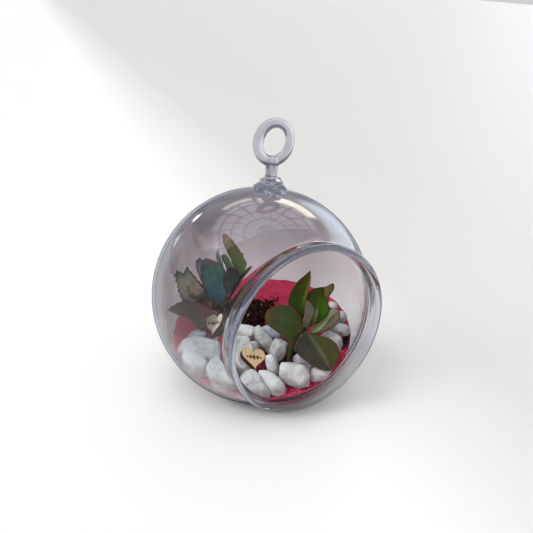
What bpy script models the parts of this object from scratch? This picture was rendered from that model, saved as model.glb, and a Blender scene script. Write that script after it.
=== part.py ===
"""Open glass-globe terrarium: a blown globe with a side mouth and a hanging loop,
filled with crimson sand, white marble chips, potting soil, two plywood hearts
and three succulents.

Metres, +Z up.  The origin is the middle of the flat foot, on the surface the
globe stands on.  The mouth faces -Y.
"""
import math
import random

import bmesh
import bpy
from mathutils import Euler, Matrix, Vector

# ---------------------------------------------------------------- dimensions
MM = 0.001

GLOBE_R = 60.0 * MM          # outside radius of the blown globe
WALL = 1.6 * MM              # wall thickness
CENTRE_Z = 55.5 * MM         # globe centre above the table, so the foot is flat
FLOOR_Z = 1.8 * MM           # thickness of the flat foot
MOUTH_R = 42.2 * MM          # inside radius where the neck leaves the globe
LIP_R = 44.9 * MM            # centre circle of the fire-polished bead
LIP_BEAD = 1.8 * MM          # radius of the bead
LIP_Y = 46.8 * MM            # distance of the bead's circle from the globe axis
GLOBE_STEPS = 40

PAD_BASE_R = 9.2 * MM        # applied glass pad on the pole
PAD_TOP_R = 5.8 * MM
PAD_TOP_Z = 122.6 * MM
STEM_R = 1.75 * MM           # one strand of the loop's stem
RING_Z = 141.2 * MM
RING_W = 9.7 * MM            # half width of the ring's centre line
RING_H = 10.0 * MM           # half height of the ring's centre line
RING_TUBE = 2.6 * MM

GAP = 0.3 * MM               # clearance between pieces that touch
SAND_R = 57.7 * MM           # the sand fills the globe to just inside the wall
SAND_FLOOR = 2.1 * MM

SOIL_AT = Vector((4.5, 25.5, 27.0)) * MM
SOIL_SIZE = Vector((21.0, 12.5, 6.6)) * MM
SOIL_TILT = Euler((math.radians(13.0), math.radians(-13.0), math.radians(8.0)))

HEART_W = 13.8 * MM
HEART_T = 3.0 * MM


def sand_height(x, y):
    """Height of the sand, banked up towards the back and the right."""
    u, v = x / MM, y / MM
    return (21.5 + 0.18 * u + 0.17 * v + 0.0026 * u * u + 0.0013 * v * v) * MM


# stones: name, kind (c chip, p pebble, g grey pebble), place, half sizes, turn
STONES = [
    ('01', 'g', (-28.4, 19.5, 25.8), (5.5, 3.2, 4.6), (67, -12, -29)),
    ('02', 'c', (-33.2, 5.0, 24.7), (12.4, 6.9, 7.0), (68, 1, -34)),
    ('03', 'p', (-40.0, -3.6, 22.0), (8.9, 5.5, 5.0), (61, 38, -52)),
    ('04', 'c', (-31.1, -17.2, 20.8), (9.6, 6.7, 6.5), (59, 43, -56)),
    ('05', 'c', (-20.0, 15.9, 25.3), (4.9, 2.9, 4.0), (68, 0, -34)),
    ('06', 'g', (-21.5, 26.5, 28.5), (4.1, 2.9, 3.5), (23, -66, 31)),
    ('07', 'c', (-0.7, 9.2, 27.4), (5.8, 4.4, 5.0), (68, 6, -36)),
    ('08', 'c', (-14.9, -12.5, 23.3), (13.7, 5.2, 6.0), (33, 63, -88)),
    ('09', 'c', (4.1, -0.9, 26.6), (8.6, 4.6, 5.0), (59, 43, -56)),
    ('10', 'g', (10.3, 0.5, 28.5), (6.4, 4.0, 4.5), (66, 23, -44)),
    ('11', 'c', (6.0, -12.8, 25.3), (6.2, 4.8, 5.0), (32, -64, 21)),
    ('12', 'c', (-3.2, -22.3, 22.7), (6.8, 3.9, 4.8), (56, 48, -60)),
    ('13', 'c', (3.8, -34.2, 23.8), (8.3, 7.3, 7.5), (68, 5, -36)),
    ('14', 'p', (-10.9, -33.3, 20.1), (8.8, 5.0, 6.0), (64, 30, -48)),
    ('15', 'c', (-19.5, -31.5, 19.9), (8.2, 5.3, 6.0), (60, 41, -54)),
    ('16', 'p', (15.2, -40.5, 23.8), (6.5, 4.0, 4.6), (65, -25, -23)),
    ('17', 'c', (14.6, -27.0, 24.8), (6.1, 4.2, 4.5), (67, 14, -40)),
    ('18', 'p', (18.9, -12.2, 27.8), (5.7, 3.1, 4.0), (17, -67, 38)),
    ('19', 'c', (34.7, -24.3, 31.1), (6.0, 4.8, 5.0), (67, 18, -42)),
    ('20', 'p', (43.2, -20.5, 34.6), (5.5, 3.6, 4.6), (68, 1, -34)),
    ('21', 'p', (49.3, -12.3, 37.8), (4.0, 3.2, 3.6), (32, -64, 21)),
    ('22', 'p', (50.6, -2.2, 39.9), (3.3, 3.0, 3.4), (68, -5, -32)),
    ('23', 'c', (-6.5, -3.0, 23.6), (6.5, 4.0, 5.5), (10, 8, 35)),
    ('24', 'c', (-21.5, 3.5, 22.6), (6.0, 3.8, 5.0), (-12, 10, 70)),
]

# hearts: name, middle, turn
HEARTS = [
    ('heart_front', (-13.5, -18.2, 26.8), (30.6, 11.6, -16.0)),
    ('heart_back', (-17.5, 18.4, 31.1), (45.5, -23.2, -65.9)),
]

# stems: name, foot, bend, crown, foot radius, crown radius
STEMS = [
    ('front_stem', (10.8, -18.6, 15.0), (9.8, -18.2, 33.0), (18.0, -18.8, 43.0), 1.9, 2.5),
    ('back_stem', (-3.0, 30.0, 26.0), (-4.5, 29.5, 34.0), (-6.2, 28.5, 45.0), 1.9, 2.6),
    ('toothed_stem', (-11.5, 28.0, 25.5), (-16.0, 29.5, 31.0), (-19.5, 30.5, 40.8), 1.6, 2.3),
]

# leaves: name, base, bend, tip, way the upper face looks, width, thickness,
# where it is widest, tip sharpness, cup, fold, teeth
LEAVES = [
    ('front_leaf_upright', (17.0, -15.2, 45.2), (14.0, -12.8, 56.2), (24.6, -10.2, 69.8),
     (-0.70, -0.70, 0.25), 12.4, 2.4, 0.42, 1.05, 0.20, 0.10, 0.0),
    ('front_leaf_curled', (20.6, -17.4, 43.9), (25.2, -18.9, 56.6), (37.2, -16.4, 62.5),
     (-0.68, -0.62, 0.40), 12.8, 2.2, 0.45, 0.85, 0.16, 0.18, 0.0),
    ('front_leaf_bud_left', (16.4, -19.8, 45.4), (15.2, -22.0, 51.0), (18.2, -20.2, 56.8),
     (0.55, -0.60, 0.20), 5.2, 1.7, 0.45, 1.0, 0.35, 0.10, 0.0),
    ('front_leaf_bud_right', (19.0, -21.2, 44.6), (21.2, -24.4, 49.6), (21.4, -22.4, 55.2),
     (-0.80, -0.50, 0.20), 4.6, 1.6, 0.45, 1.0, 0.35, 0.10, 0.0),
    ('front_leaf_broad', (13.6, -18.2, 41.3), (7.0, -15.6, 44.6), (-3.2, -10.4, 42.6),
     (-0.25, -0.62, 0.75), 21.5, 3.0, 0.56, 0.62, 0.16, 0.06, 0.0),
    ('front_leaf_folded', (21.4, -20.4, 40.2), (28.4, -26.0, 44.4), (37.4, -24.4, 49.3),
     (-0.45, -0.45, 0.80), 11.5, 2.0, 0.45, 1.15, 0.10, 0.55, 0.0),
    ('front_leaf_keeled', (15.2, -23.0, 38.0), (17.4, -35.6, 40.0), (22.4, -40.8, 24.6),
     (-0.22, -0.88, 0.42), 25.5, 3.0, 0.50, 0.70, 0.02, -0.26, 0.0),
    ('front_leaf_rear', (19.4, -15.4, 41.6), (27.0, -9.0, 45.0), (34.5, -3.5, 52.5),
     (-0.40, -0.20, 0.90), 10.5, 2.4, 0.50, 0.90, 0.18, 0.10, 0.0),

    ('back_leaf_tall', (-3.8, 29.4, 46.8), (5.0, 29.4, 60.0), (-5.0, 37.0, 79.2),
     (-0.60, -0.72, 0.20), 9.4, 2.2, 0.46, 1.15, 0.20, 0.12, 0.0),
    ('back_leaf_slim', (-3.2, 26.8, 44.8), (-0.2, 22.3, 51.0), (7.4, 22.8, 62.6),
     (-0.66, -0.55, 0.42), 5.8, 2.0, 0.58, 0.85, 0.20, 0.15, 0.0),
    ('back_leaf_blue', (-9.0, 27.2, 44.6), (-15.0, 23.4, 51.0), (-16.8, 34.6, 66.4),
     (-0.46, -0.80, 0.36), 15.6, 2.6, 0.55, 0.62, 0.14, 0.10, 0.0),
    ('back_leaf_sliver', (-9.2, 31.4, 45.0), (-16.8, 38.4, 48.5), (-17.8, 42.2, 63.6),
     (-0.30, -0.85, 0.40), 6.6, 1.8, 0.55, 0.90, 0.18, 0.10, 0.0),
    ('back_leaf_pointed', (-6.8, 31.8, 46.4), (-8.5, 35.6, 54.0), (-7.0, 39.8, 68.6),
     (-0.50, -0.82, 0.25), 6.2, 1.8, 0.45, 1.15, 0.20, 0.10, 0.0),
    ('back_leaf_small', (-6.4, 28.4, 47.6), (-6.8, 28.4, 58.0), (-7.2, 33.6, 68.6),
     (-0.50, -0.80, 0.30), 6.4, 1.8, 0.50, 0.85, 0.22, 0.10, 0.0),
    ('back_leaf_inner', (-5.2, 24.6, 46.4), (-7.2, 19.6, 54.4), (-5.4, 23.4, 64.6),
     (0.40, -0.85, 0.30), 6.0, 1.7, 0.52, 0.85, 0.30, 0.10, 0.0),

    ('toothed_leaf_jagged', (-19.8, 32.4, 42.6), (-25.2, 34.0, 46.0), (-33.6, 38.6, 60.4),
     (-0.40, -0.82, 0.38), 17.0, 2.0, 0.66, 0.28, 0.08, 0.10, 0.30),
    ('toothed_leaf_low', (-22.4, 30.2, 41.0), (-31.0, 28.6, 46.6), (-42.0, 29.2, 40.6),
     (-0.25, -0.62, 0.75), 10.5, 1.8, 0.42, 1.15, 0.12, 0.20, 0.05),
    ('toothed_leaf_red', (-21.2, 25.6, 37.0), (-26.8, 18.6, 42.0), (-32.8, 22.6, 34.0),
     (-0.35, -0.75, 0.55), 10.6, 2.0, 0.52, 0.60, 0.10, 0.10, 0.03),
    ('toothed_leaf_rear', (-18.0, 33.4, 40.4), (-16.8, 38.6, 46.0), (-19.5, 44.4, 50.5),
     (-0.20, -0.40, 0.90), 9.0, 1.8, 0.55, 0.80, 0.12, 0.15, 0.10),
]

COLOURS = {
    'glass': ((0.93, 0.94, 0.97), 0.02, 1.0),
    'sand': ((0.55, 0.03, 0.10), 0.9, 0.0),
    'soil': ((0.020, 0.012, 0.010), 0.95, 0.0),
    'chip': ((0.86, 0.86, 0.88), 0.6, 0.0),
    'pebble': ((0.80, 0.80, 0.82), 0.4, 0.0),
    'grey': ((0.52, 0.56, 0.62), 0.5, 0.0),
    'plywood': ((0.62, 0.42, 0.22), 0.6, 0.0),
    'stem': ((0.16, 0.14, 0.05), 0.6, 0.0),
    'front': ((0.07, 0.17, 0.05), 0.35, 0.0),
    'back': ((0.08, 0.16, 0.13), 0.45, 0.0),
    'toothed': ((0.22, 0.20, 0.15), 0.6, 0.0),
}


# ------------------------------------------------------------------- helpers
for stale in list(bpy.data.objects):
    bpy.data.objects.remove(stale, do_unlink=True)

PARTS = bpy.data.collections.new('open_globe_terrarium')
CUTTERS = bpy.data.collections.new('cutters')
bpy.context.scene.collection.children.link(PARTS)
bpy.context.scene.collection.children.link(CUTTERS)


def finish(name):
    """A Principled material in the colour of the piece."""
    if name in bpy.data.materials:
        return bpy.data.materials[name]
    colour, rough, clear = COLOURS[name]
    mat = bpy.data.materials.new(name)
    mat.use_nodes = True
    shader = mat.node_tree.nodes['Principled BSDF']
    shader.inputs['Base Color'].default_value = (*colour, 1.0)
    shader.inputs['Roughness'].default_value = rough
    shader.inputs['Metallic'].default_value = 0.0
    shader.inputs['Transmission Weight'].default_value = clear
    mat.diffuse_color = (*colour, 1.0)
    return mat


def add(name, bm, look, smooth=True):
    """Turn a bmesh into a named part."""
    bmesh.ops.recalc_face_normals(bm, faces=bm.faces[:])
    if bm.calc_volume(signed=True) < 0.0:
        bmesh.ops.reverse_faces(bm, faces=bm.faces[:])
    mesh = bpy.data.meshes.new(name)
    bm.to_mesh(mesh)
    bm.free()
    obj = bpy.data.objects.new(name, mesh)
    mesh.materials.append(finish(look))
    if smooth:
        mesh.shade_smooth()
        mesh.set_sharp_from_angle(angle=math.radians(40))
    PARTS.objects.link(obj)
    return obj


def cutter(name, bm):
    """A hidden tool body for a Boolean."""
    bmesh.ops.recalc_face_normals(bm, faces=bm.faces[:])
    mesh = bpy.data.meshes.new(name)
    bm.to_mesh(mesh)
    bm.free()
    obj = bpy.data.objects.new(name, mesh)
    obj.hide_render = True
    obj.display_type = 'WIRE'
    CUTTERS.objects.link(obj)
    return obj


def boolean(obj, tool, operation):
    mod = obj.modifiers.new(tool.name, 'BOOLEAN')
    mod.operation = operation
    mod.solver = 'EXACT'
    mod.object = tool


def lathe(name, profile, steps, smooth=True):
    """A turned solid: a profile of (radius, height) pairs screwed about Z."""
    mesh = bpy.data.meshes.new(name)
    mesh.from_pydata([(r, 0.0, z) for r, z in profile],
                     [(i, i + 1) for i in range(len(profile) - 1)], [])
    obj = bpy.data.objects.new(name, mesh)
    screw = obj.modifiers.new('turn', 'SCREW')
    screw.axis = 'Z'
    screw.angle = 2.0 * math.pi
    screw.steps = steps
    screw.render_steps = steps
    screw.use_merge_vertices = True
    screw.merge_threshold = 0.00001
    screw.use_smooth_shade = smooth
    return obj


def cone(bm, r1, r2, z1, z2, segments=32):
    """A closed cone frustum from z1 up to z2."""
    made = bmesh.ops.create_cone(bm, cap_ends=True, segments=segments,
                                 radius1=r1, radius2=r2, depth=z2 - z1)
    bmesh.ops.translate(bm, verts=made['verts'], vec=(0, 0, 0.5 * (z1 + z2)))
    return made['verts']


def hull(bm):
    """Replace what is in a bmesh by the convex hull of its points."""
    points = [v.co.copy() for v in bm.verts]
    bm.clear()
    for p in points:
        bm.verts.new(p)
    made = bmesh.ops.convex_hull(bm, input=bm.verts[:])
    spare = [g for g in made['geom_interior'] + made['geom_unused']
             if isinstance(g, bmesh.types.BMVert)]
    bmesh.ops.delete(bm, geom=list(set(spare)), context='VERTS')
    bmesh.ops.recalc_face_normals(bm, faces=bm.faces[:])


# ------------------------------------------------------------- the glass globe
def globe_profile():
    """Inner side from the back pole to the lip, round the bead, and back."""
    r_in = GLOBE_R - WALL
    points = []
    a_mouth = math.asin(MOUTH_R / r_in)              # polar angle at the mouth
    for i in range(15):                              # inner sphere
        a = math.pi - (math.pi - a_mouth) * i / 14
        points.append((r_in * math.sin(a), r_in * math.cos(a)))
    points[0] = (0.0, -r_in)
    points.append((MOUTH_R + 0.25 * MM, 43.3 * MM))  # straight inside of the neck
    for i in range(7):                               # round the bead
        a = math.radians(200.0 - 250.0 * i / 6)
        points.append((LIP_R + LIP_BEAD * math.cos(a), LIP_Y + LIP_BEAD * math.sin(a)))
    points.append((45.45 * MM, 43.2 * MM))           # waist of the neck
    points.append((45.35 * MM, 41.6 * MM))
    a_out = math.acos(39.0 / 60.0)
    for i in range(15):                              # outer sphere
        a = a_out + (math.pi - a_out) * i / 14
        points.append((GLOBE_R * math.sin(a), GLOBE_R * math.cos(a)))
    points[-1] = (0.0, -GLOBE_R)
    return points


globe = lathe('glass_globe', globe_profile(), GLOBE_STEPS)
globe.location = (0, 0, CENTRE_Z)
globe.rotation_euler = (math.radians(90), 0, 0)      # local +Z becomes the mouth, -Y
globe.data.materials.append(finish('glass'))
PARTS.objects.link(globe)

bm = bmesh.new()                                     # the foot's flat floor
cone(bm, 18.2 * MM, 24.8 * MM, -0.7 * MM, FLOOR_Z, 40)
boolean(globe, cutter('foot_plate', bm), 'UNION')
bm = bmesh.new()                                     # everything under the table
bmesh.ops.create_cube(bm, size=0.2)
bmesh.ops.translate(bm, verts=bm.verts[:], vec=(0, 0, -0.1))
boolean(globe, cutter('table_plane', bm), 'DIFFERENCE')


# ------------------------------------------------------- pad, stem and ring
pad_profile = [(0.0, PAD_TOP_Z), (0.6 * PAD_TOP_R, PAD_TOP_Z - 0.1 * MM),
               (0.92 * PAD_TOP_R, PAD_TOP_Z - 0.8 * MM),
               (1.06 * PAD_TOP_R, PAD_TOP_Z - 2.0 * MM),
               (0.90 * PAD_TOP_R, PAD_TOP_Z - 3.2 * MM),
               (1.12 * PAD_TOP_R, PAD_TOP_Z - 4.4 * MM),
               (0.90 * PAD_BASE_R, PAD_TOP_Z - 5.6 * MM),
               (PAD_BASE_R, PAD_TOP_Z - 7.0 * MM),
               (0.96 * PAD_BASE_R, PAD_TOP_Z - 9.0 * MM), (0.0, PAD_TOP_Z - 9.0 * MM)]
loop = lathe('hanging_loop', pad_profile, 24)
loop.data.materials.append(finish('glass'))
PARTS.objects.link(loop)

for side in (-1, 1):                                 # the two strands of the stem
    bm = bmesh.new()
    verts = cone(bm, 1.16 * STEM_R, 1.0 * STEM_R, -5.0 * MM, 5.5 * MM, 12)
    bmesh.ops.rotate(bm, verts=verts, cent=(0, 0, 0),
                     matrix=Matrix.Rotation(math.radians(5.0 * side), 3, 'Y')
                     @ Matrix.Rotation(math.radians(9.0 + 4.0 * side), 3, 'Z'))
    bmesh.ops.translate(bm, verts=verts, vec=(side * 1.32 * MM, side * 0.15 * MM, 125.0 * MM))
    boolean(loop, cutter('strand_left' if side < 0 else 'strand_right', bm), 'UNION')

bpy.ops.mesh.primitive_torus_add(major_segments=36, minor_segments=12,
                                 major_radius=RING_W, minor_radius=RING_TUBE)
ring = bpy.context.object
ring.name = 'ring'
ring.data.transform(Matrix.Rotation(math.radians(90), 4, 'X'))
ring.data.transform(Matrix.Diagonal((1, 1, RING_H / RING_W, 1)))
ring.location = (0, 0, RING_Z)
for home in list(ring.users_collection):
    home.objects.unlink(ring)
CUTTERS.objects.link(ring)
ring.hide_render = True
ring.display_type = 'WIRE'
boolean(loop, ring, 'UNION')

bm = bmesh.new()                                     # the pad sits on the globe
bmesh.ops.create_uvsphere(bm, u_segments=48, v_segments=24, radius=GLOBE_R + 1.3 * GAP)
bmesh.ops.translate(bm, verts=bm.verts[:], vec=(0, 0, CENTRE_Z))
boolean(loop, cutter('globe_top', bm), 'DIFFERENCE')


# ------------------------------------------------------------------ the sand
bm = bmesh.new()
bmesh.ops.create_uvsphere(bm, u_segments=36, v_segments=20, radius=SAND_R)
bmesh.ops.translate(bm, verts=bm.verts[:], vec=(0, 0, CENTRE_Z))
sand = add('sand_bed', bm, 'sand')

bm = bmesh.new()                                     # everything below the surface
bmesh.ops.create_grid(bm, x_segments=17, y_segments=17, size=62.0 * MM)
raised = bmesh.ops.extrude_face_region(bm, geom=bm.faces[:])
for v in raised['geom']:
    if isinstance(v, bmesh.types.BMVert):
        v.co.z = sand_height(v.co.x, v.co.y)
        v.tag = True
for v in bm.verts:
    if not v.tag:
        v.co.z = SAND_FLOOR
boolean(sand, cutter('sand_level', bm), 'INTERSECT')


# ------------------------------------------------------------------ the soil
def soil_ball(grow, lumps):
    """An ellipsoid along the slope; its top is lumpy, its underside smooth."""
    rng = random.Random(11)
    bm = bmesh.new()
    bmesh.ops.create_uvsphere(bm, u_segments=20, v_segments=10, radius=1.0)
    turn = SOIL_TILT.to_matrix()
    for v in bm.verts:
        top = max(0.0, v.co.z)
        lift = 1.0 + (lumps * (rng.random() - 0.35) * min(1.0, 2.0 * top))
        p = Vector((v.co.x * (SOIL_SIZE.x + grow), v.co.y * (SOIL_SIZE.y + grow),
                    v.co.z * (SOIL_SIZE.z + grow) * lift))
        v.co = SOIL_AT + turn @ p
    return bm


soil = add('soil', soil_ball(0.0, 0.30), 'soil')
boolean(sand, cutter('soil_hollow', soil_ball(GAP * 1.6, 0.30)), 'DIFFERENCE')


# ----------------------------------------------------------------- the stems
def bezier(a, b, c, t):
    return a * (1 - t) ** 2 + b * 2 * t * (1 - t) + c * t * t


def swept(bm, a, b, c, r1, r2, rings, sides):
    """A tapering round stalk along a bent line, closed at both ends."""
    bmesh.ops.create_uvsphere(bm, u_segments=sides, v_segments=rings, radius=1.0)
    for v in bm.verts:
        t = 0.5 * (v.co.z + 1.0)
        flat = math.hypot(v.co.x, v.co.y)
        along = (bezier(a, b, c, min(1.0, t + 0.01)) - bezier(a, b, c, max(0.0, t - 0.01)))
        side = along.cross(Vector((0, 1, 0))).normalized()
        other = along.cross(side).normalized()
        r = r1 + (r2 - r1) * t ** 3                  # it swells at the crown
        if flat > 1e-6:
            spread = side * (v.co.x / flat) + other * (v.co.y / flat)
            v.co = bezier(a, b, c, t) + spread * r
        else:
            v.co = bezier(a, b, c, t)


STEM_BODIES = {}
for name, foot, bend, crown, r1, r2 in STEMS:
    a, b, c = (Vector(p) * MM for p in (foot, bend, crown))
    bm = bmesh.new()
    swept(bm, a, b, c, r1 * MM, r2 * MM, 8, 10)
    STEM_BODIES[name] = [v.co.copy() for v in bm.verts]
    add(name, bm, 'stem')
    bm = bmesh.new()                                 # its socket, with clearance
    down = (a - b).normalized()
    swept(bm, a + down * GAP * 1.5, b, c, (r1 + 0.45) * MM, (r2 + 0.45) * MM, 8, 10)
    tool = cutter(name + '_socket', bm)
    if name == 'front_stem':
        boolean(sand, tool, 'DIFFERENCE')
    else:
        boolean(soil, tool, 'DIFFERENCE')


# ---------------------------------------------------------------- the leaves
def leaf(bm, base, bend, tip, look, width, thick, widest, sharp, cup, fold, teeth,
         sides=12, rings=9):
    """A fleshy leaf: a sphere drawn out along a bent midrib and flattened."""
    base, bend, tip = (Vector(p) * MM for p in (base, bend, tip))
    look = Vector(look).normalized()
    bmesh.ops.create_uvsphere(bm, u_segments=sides, v_segments=rings, radius=1.0)
    for v in bm.verts:
        t = 0.5 * (v.co.z + 1.0)
        flat = math.hypot(v.co.x, v.co.y)
        u = v.co.x / flat if flat > 1e-6 else 0.0
        s = v.co.y / flat if flat > 1e-6 else 0.0
        along = (bezier(base, bend, tip, min(1.0, t + 0.01))
                 - bezier(base, bend, tip, max(0.0, t - 0.01))).normalized()
        side = along.cross(look).normalized()
        up = side.cross(along)
        if t < widest:
            w = 0.17 + 0.83 * math.sin(0.5 * math.pi * t / widest) ** 1.25
        else:
            w = max(0.0, math.cos(0.5 * math.pi * (t - widest) / (1.0 - widest))) ** sharp
        w *= 0.5 * width * MM
        h = 0.5 * thick * MM * (0.62 + 0.38 * math.sin(math.pi * min(1.0, 1.2 * t + 0.1)))
        h *= math.sqrt(max(0.0, 1.0 - t ** 4))
        if flat < 1e-6:
            w = h = 0.0
        notch = teeth * width * MM * t * t * (1.0 - abs(math.cos(1.5 * math.pi * u)))
        v.co = (bezier(base, bend, tip, t) + side * (w * u) + up * (h * s)
                + up * (cup * w * u * u + fold * w * abs(u)) - along * notch)


LEAF_SLICES = []                                     # thin slices of the low leaves
for spec in LEAVES:
    bm = bmesh.new()
    sides = 16 if spec[11] > 0.1 else 12
    leaf(bm, *spec[1:], sides=sides)
    if spec[0] in ('front_leaf_keeled', 'front_leaf_broad'):
        line = [Vector(p) * MM for p in spec[1:4]]
        for k in range(4):
            near = [v.co.copy() for v in bm.verts if
                    min(range(9), key=lambda i: (v.co - bezier(*line, i / 8)).length)
                    in (2 * k, 2 * k + 1, 2 * k + 2)]
            if len(near) > 3:
                LEAF_SLICES.append(near)
    add(spec[0], bm, spec[0].split('_')[0])


# ---------------------------------------------------------------- the hearts
def heart_outline(n):
    """A plain heart, from the notch round to the notch."""
    points = []
    for i in range(n):
        a = 2.0 * math.pi * i / n
        x = 16.0 * math.sin(a) ** 3
        y = 13.0 * math.cos(a) - 5.0 * math.cos(2 * a) - 2.0 * math.cos(3 * a) - math.cos(4 * a)
        points.append((x * HEART_W / 32.0, (y + 2.4) * HEART_W / 29.5))
    return points


HEART_BODIES = {}
for name, place, turn in HEARTS:
    curve = bpy.data.curves.new(name, 'CURVE')
    curve.dimensions = '2D'
    curve.fill_mode = 'BOTH'
    curve.extrude = 0.5 * HEART_T
    outline = heart_outline(36)
    line = curve.splines.new('POLY')
    line.points.add(len(outline) - 1)
    for point, (x, y) in zip(line.points, outline):
        point.co = (x, y, 0.0, 1.0)
    line.use_cyclic_u = True
    shape = bpy.data.objects.new(name + '_outline', curve)
    CUTTERS.objects.link(shape)
    bpy.context.view_layer.update()
    mesh = bpy.data.meshes.new_from_object(shape.evaluated_get(
        bpy.context.evaluated_depsgraph_get()))
    bpy.data.objects.remove(shape, do_unlink=True)
    bm = bmesh.new()
    bm.from_mesh(mesh)
    bmesh.ops.remove_doubles(bm, verts=bm.verts[:], dist=0.00001)
    placed = Matrix.LocRotScale(Vector(place) * MM,
                                Euler([math.radians(v) for v in turn]), None)
    HEART_BODIES[name] = [placed @ v.co for v in bm.verts]
    heart = add(name, bm, 'plywood')
    heart.matrix_world = placed


# ---------------------------------------------------------------- the stones
def stone_points(kind, size, turn, place, seed):
    """Corner points of one stone: broken faces on a chip, an egg for a pebble."""
    rng = random.Random(seed)
    bm = bmesh.new()
    bmesh.ops.create_icosphere(bm, subdivisions=2 if kind != 'c' else 1, radius=1.0)
    if kind == 'c':                                  # add mid-edge points, then break
        bmesh.ops.subdivide_edges(bm, edges=bm.edges[:], cuts=1)
    turn = Euler([math.radians(v) for v in turn]).to_matrix()
    points = []
    for v in bm.verts:
        d = v.co.normalized()
        if kind == 'c':
            q = (abs(d.x) ** 3.4 + abs(d.y) ** 3.4 + abs(d.z) ** 3.4) ** (1 / 3.4)
            d = d / q * rng.uniform(0.84, 1.10)
        else:
            d = d * (1.0 + 0.05 * math.sin(3.0 * d.x + seed) + rng.uniform(-0.015, 0.015))
        p = Vector((d.x * size[0], d.y * size[1], d.z * size[2])) * 1.06 * MM
        points.append(Vector(place) * MM + turn @ p)
    bm.free()
    return points


def split_direction(a, b):
    """The direction in which two sets of points overlap least."""
    ca = sum(a, Vector()) / len(a)
    cb = sum(b, Vector()) / len(b)
    line = (cb - ca).normalized()
    best = None
    for i in range(260):                             # an even spread of directions
        z = 1.0 - 2.0 * (i + 0.5) / 260
        r = math.sqrt(1.0 - z * z)
        n = Vector((r * math.cos(2.39996 * i), r * math.sin(2.39996 * i), z))
        if n.dot(line) < 0.35:
            continue
        overlap = max(p.dot(n) for p in a) - min(p.dot(n) for p in b)
        if best is None or overlap < best[0]:
            best = (overlap, n)
    return best


def trim(points, centre, normal):
    """What is left of a convex body behind a plane."""
    bm = bmesh.new()
    for p in points:
        bm.verts.new(p)
    hull(bm)
    bmesh.ops.bisect_plane(bm, geom=bm.verts[:] + bm.edges[:] + bm.faces[:],
                           plane_co=centre, plane_no=normal, clear_outer=True)
    hull(bm)
    left = [v.co.copy() for v in bm.verts]
    bm.free()
    return left


bodies = {}
for name, kind, place, size, turn in STONES:
    points = stone_points(kind, size, turn, place, 100 + int(name))
    x, y = place[0] * MM, place[1] * MM              # flat where it beds in the sand
    slope = Vector((-(0.18 + 0.0052 * place[0]), -(0.17 + 0.0026 * place[1]), 1.0)).normalized()
    rise = 0.0017 / MM * (max(size) * MM) ** 2
    bed = Vector((x, y, sand_height(x, y))) + slope * (GAP + rise)
    points = trim(points, bed, -slope)
    limit = GLOBE_R - WALL - 0.6 * MM                # and inside the globe's wall
    centre = Vector((0, 0, CENTRE_Z))
    points = [centre + (p - centre) * min(1.0, limit / (p - centre).length) for p in points]
    bodies[name] = points

fixed = list(STEM_BODIES.values()) + list(HEART_BODIES.values()) + LEAF_SLICES
fixed.append([v.co.copy() for v in soil.data.vertices])
for name in bodies:                                  # room for stems, hearts and soil
    for solid in fixed:
        overlap, n = split_direction(bodies[name], solid)
        if overlap > -GAP:
            bodies[name] = trim(bodies[name], n * (min(p.dot(n) for p in solid) - 1.1 * GAP), n)
names = list(bodies)
for i, first in enumerate(names):                    # stones meet on flat faces
    for second in names[i + 1:]:
        overlap, n = split_direction(bodies[first], bodies[second])
        if overlap > -GAP:
            middle = 0.5 * (max(p.dot(n) for p in bodies[first])
                            + min(p.dot(n) for p in bodies[second]))
            bodies[first] = trim(bodies[first], n * (middle - 0.55 * GAP), n)
            bodies[second] = trim(bodies[second], n * (middle + 0.55 * GAP), -n)
for name, kind, *_ in STONES:
    bm = bmesh.new()
    for p in bodies[name]:
        bm.verts.new(p)
    hull(bm)
    bmesh.ops.dissolve_degenerate(bm, dist=0.00005, edges=bm.edges[:])
    hull(bm)
    add('stone_' + name, bm, {'c': 'chip', 'p': 'pebble', 'g': 'grey'}[kind],
        smooth=kind != 'c')
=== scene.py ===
import math
import random

import bmesh
import bpy
import numpy as np
from mathutils import Euler, Matrix, Vector, noise
from mathutils.bvhtree import BVHTree


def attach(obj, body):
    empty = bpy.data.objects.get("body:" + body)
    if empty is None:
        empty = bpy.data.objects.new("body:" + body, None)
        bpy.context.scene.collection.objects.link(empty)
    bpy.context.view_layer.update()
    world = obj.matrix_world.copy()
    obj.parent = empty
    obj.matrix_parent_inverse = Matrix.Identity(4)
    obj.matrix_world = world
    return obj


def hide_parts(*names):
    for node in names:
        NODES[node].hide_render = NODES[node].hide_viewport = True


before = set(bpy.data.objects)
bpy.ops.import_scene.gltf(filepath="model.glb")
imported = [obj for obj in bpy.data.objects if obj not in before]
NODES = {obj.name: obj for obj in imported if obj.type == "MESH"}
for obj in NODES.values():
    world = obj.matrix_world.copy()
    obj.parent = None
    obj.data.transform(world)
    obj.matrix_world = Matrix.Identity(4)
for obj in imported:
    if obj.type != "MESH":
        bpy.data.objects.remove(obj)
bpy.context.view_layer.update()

MM = 0.001

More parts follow.
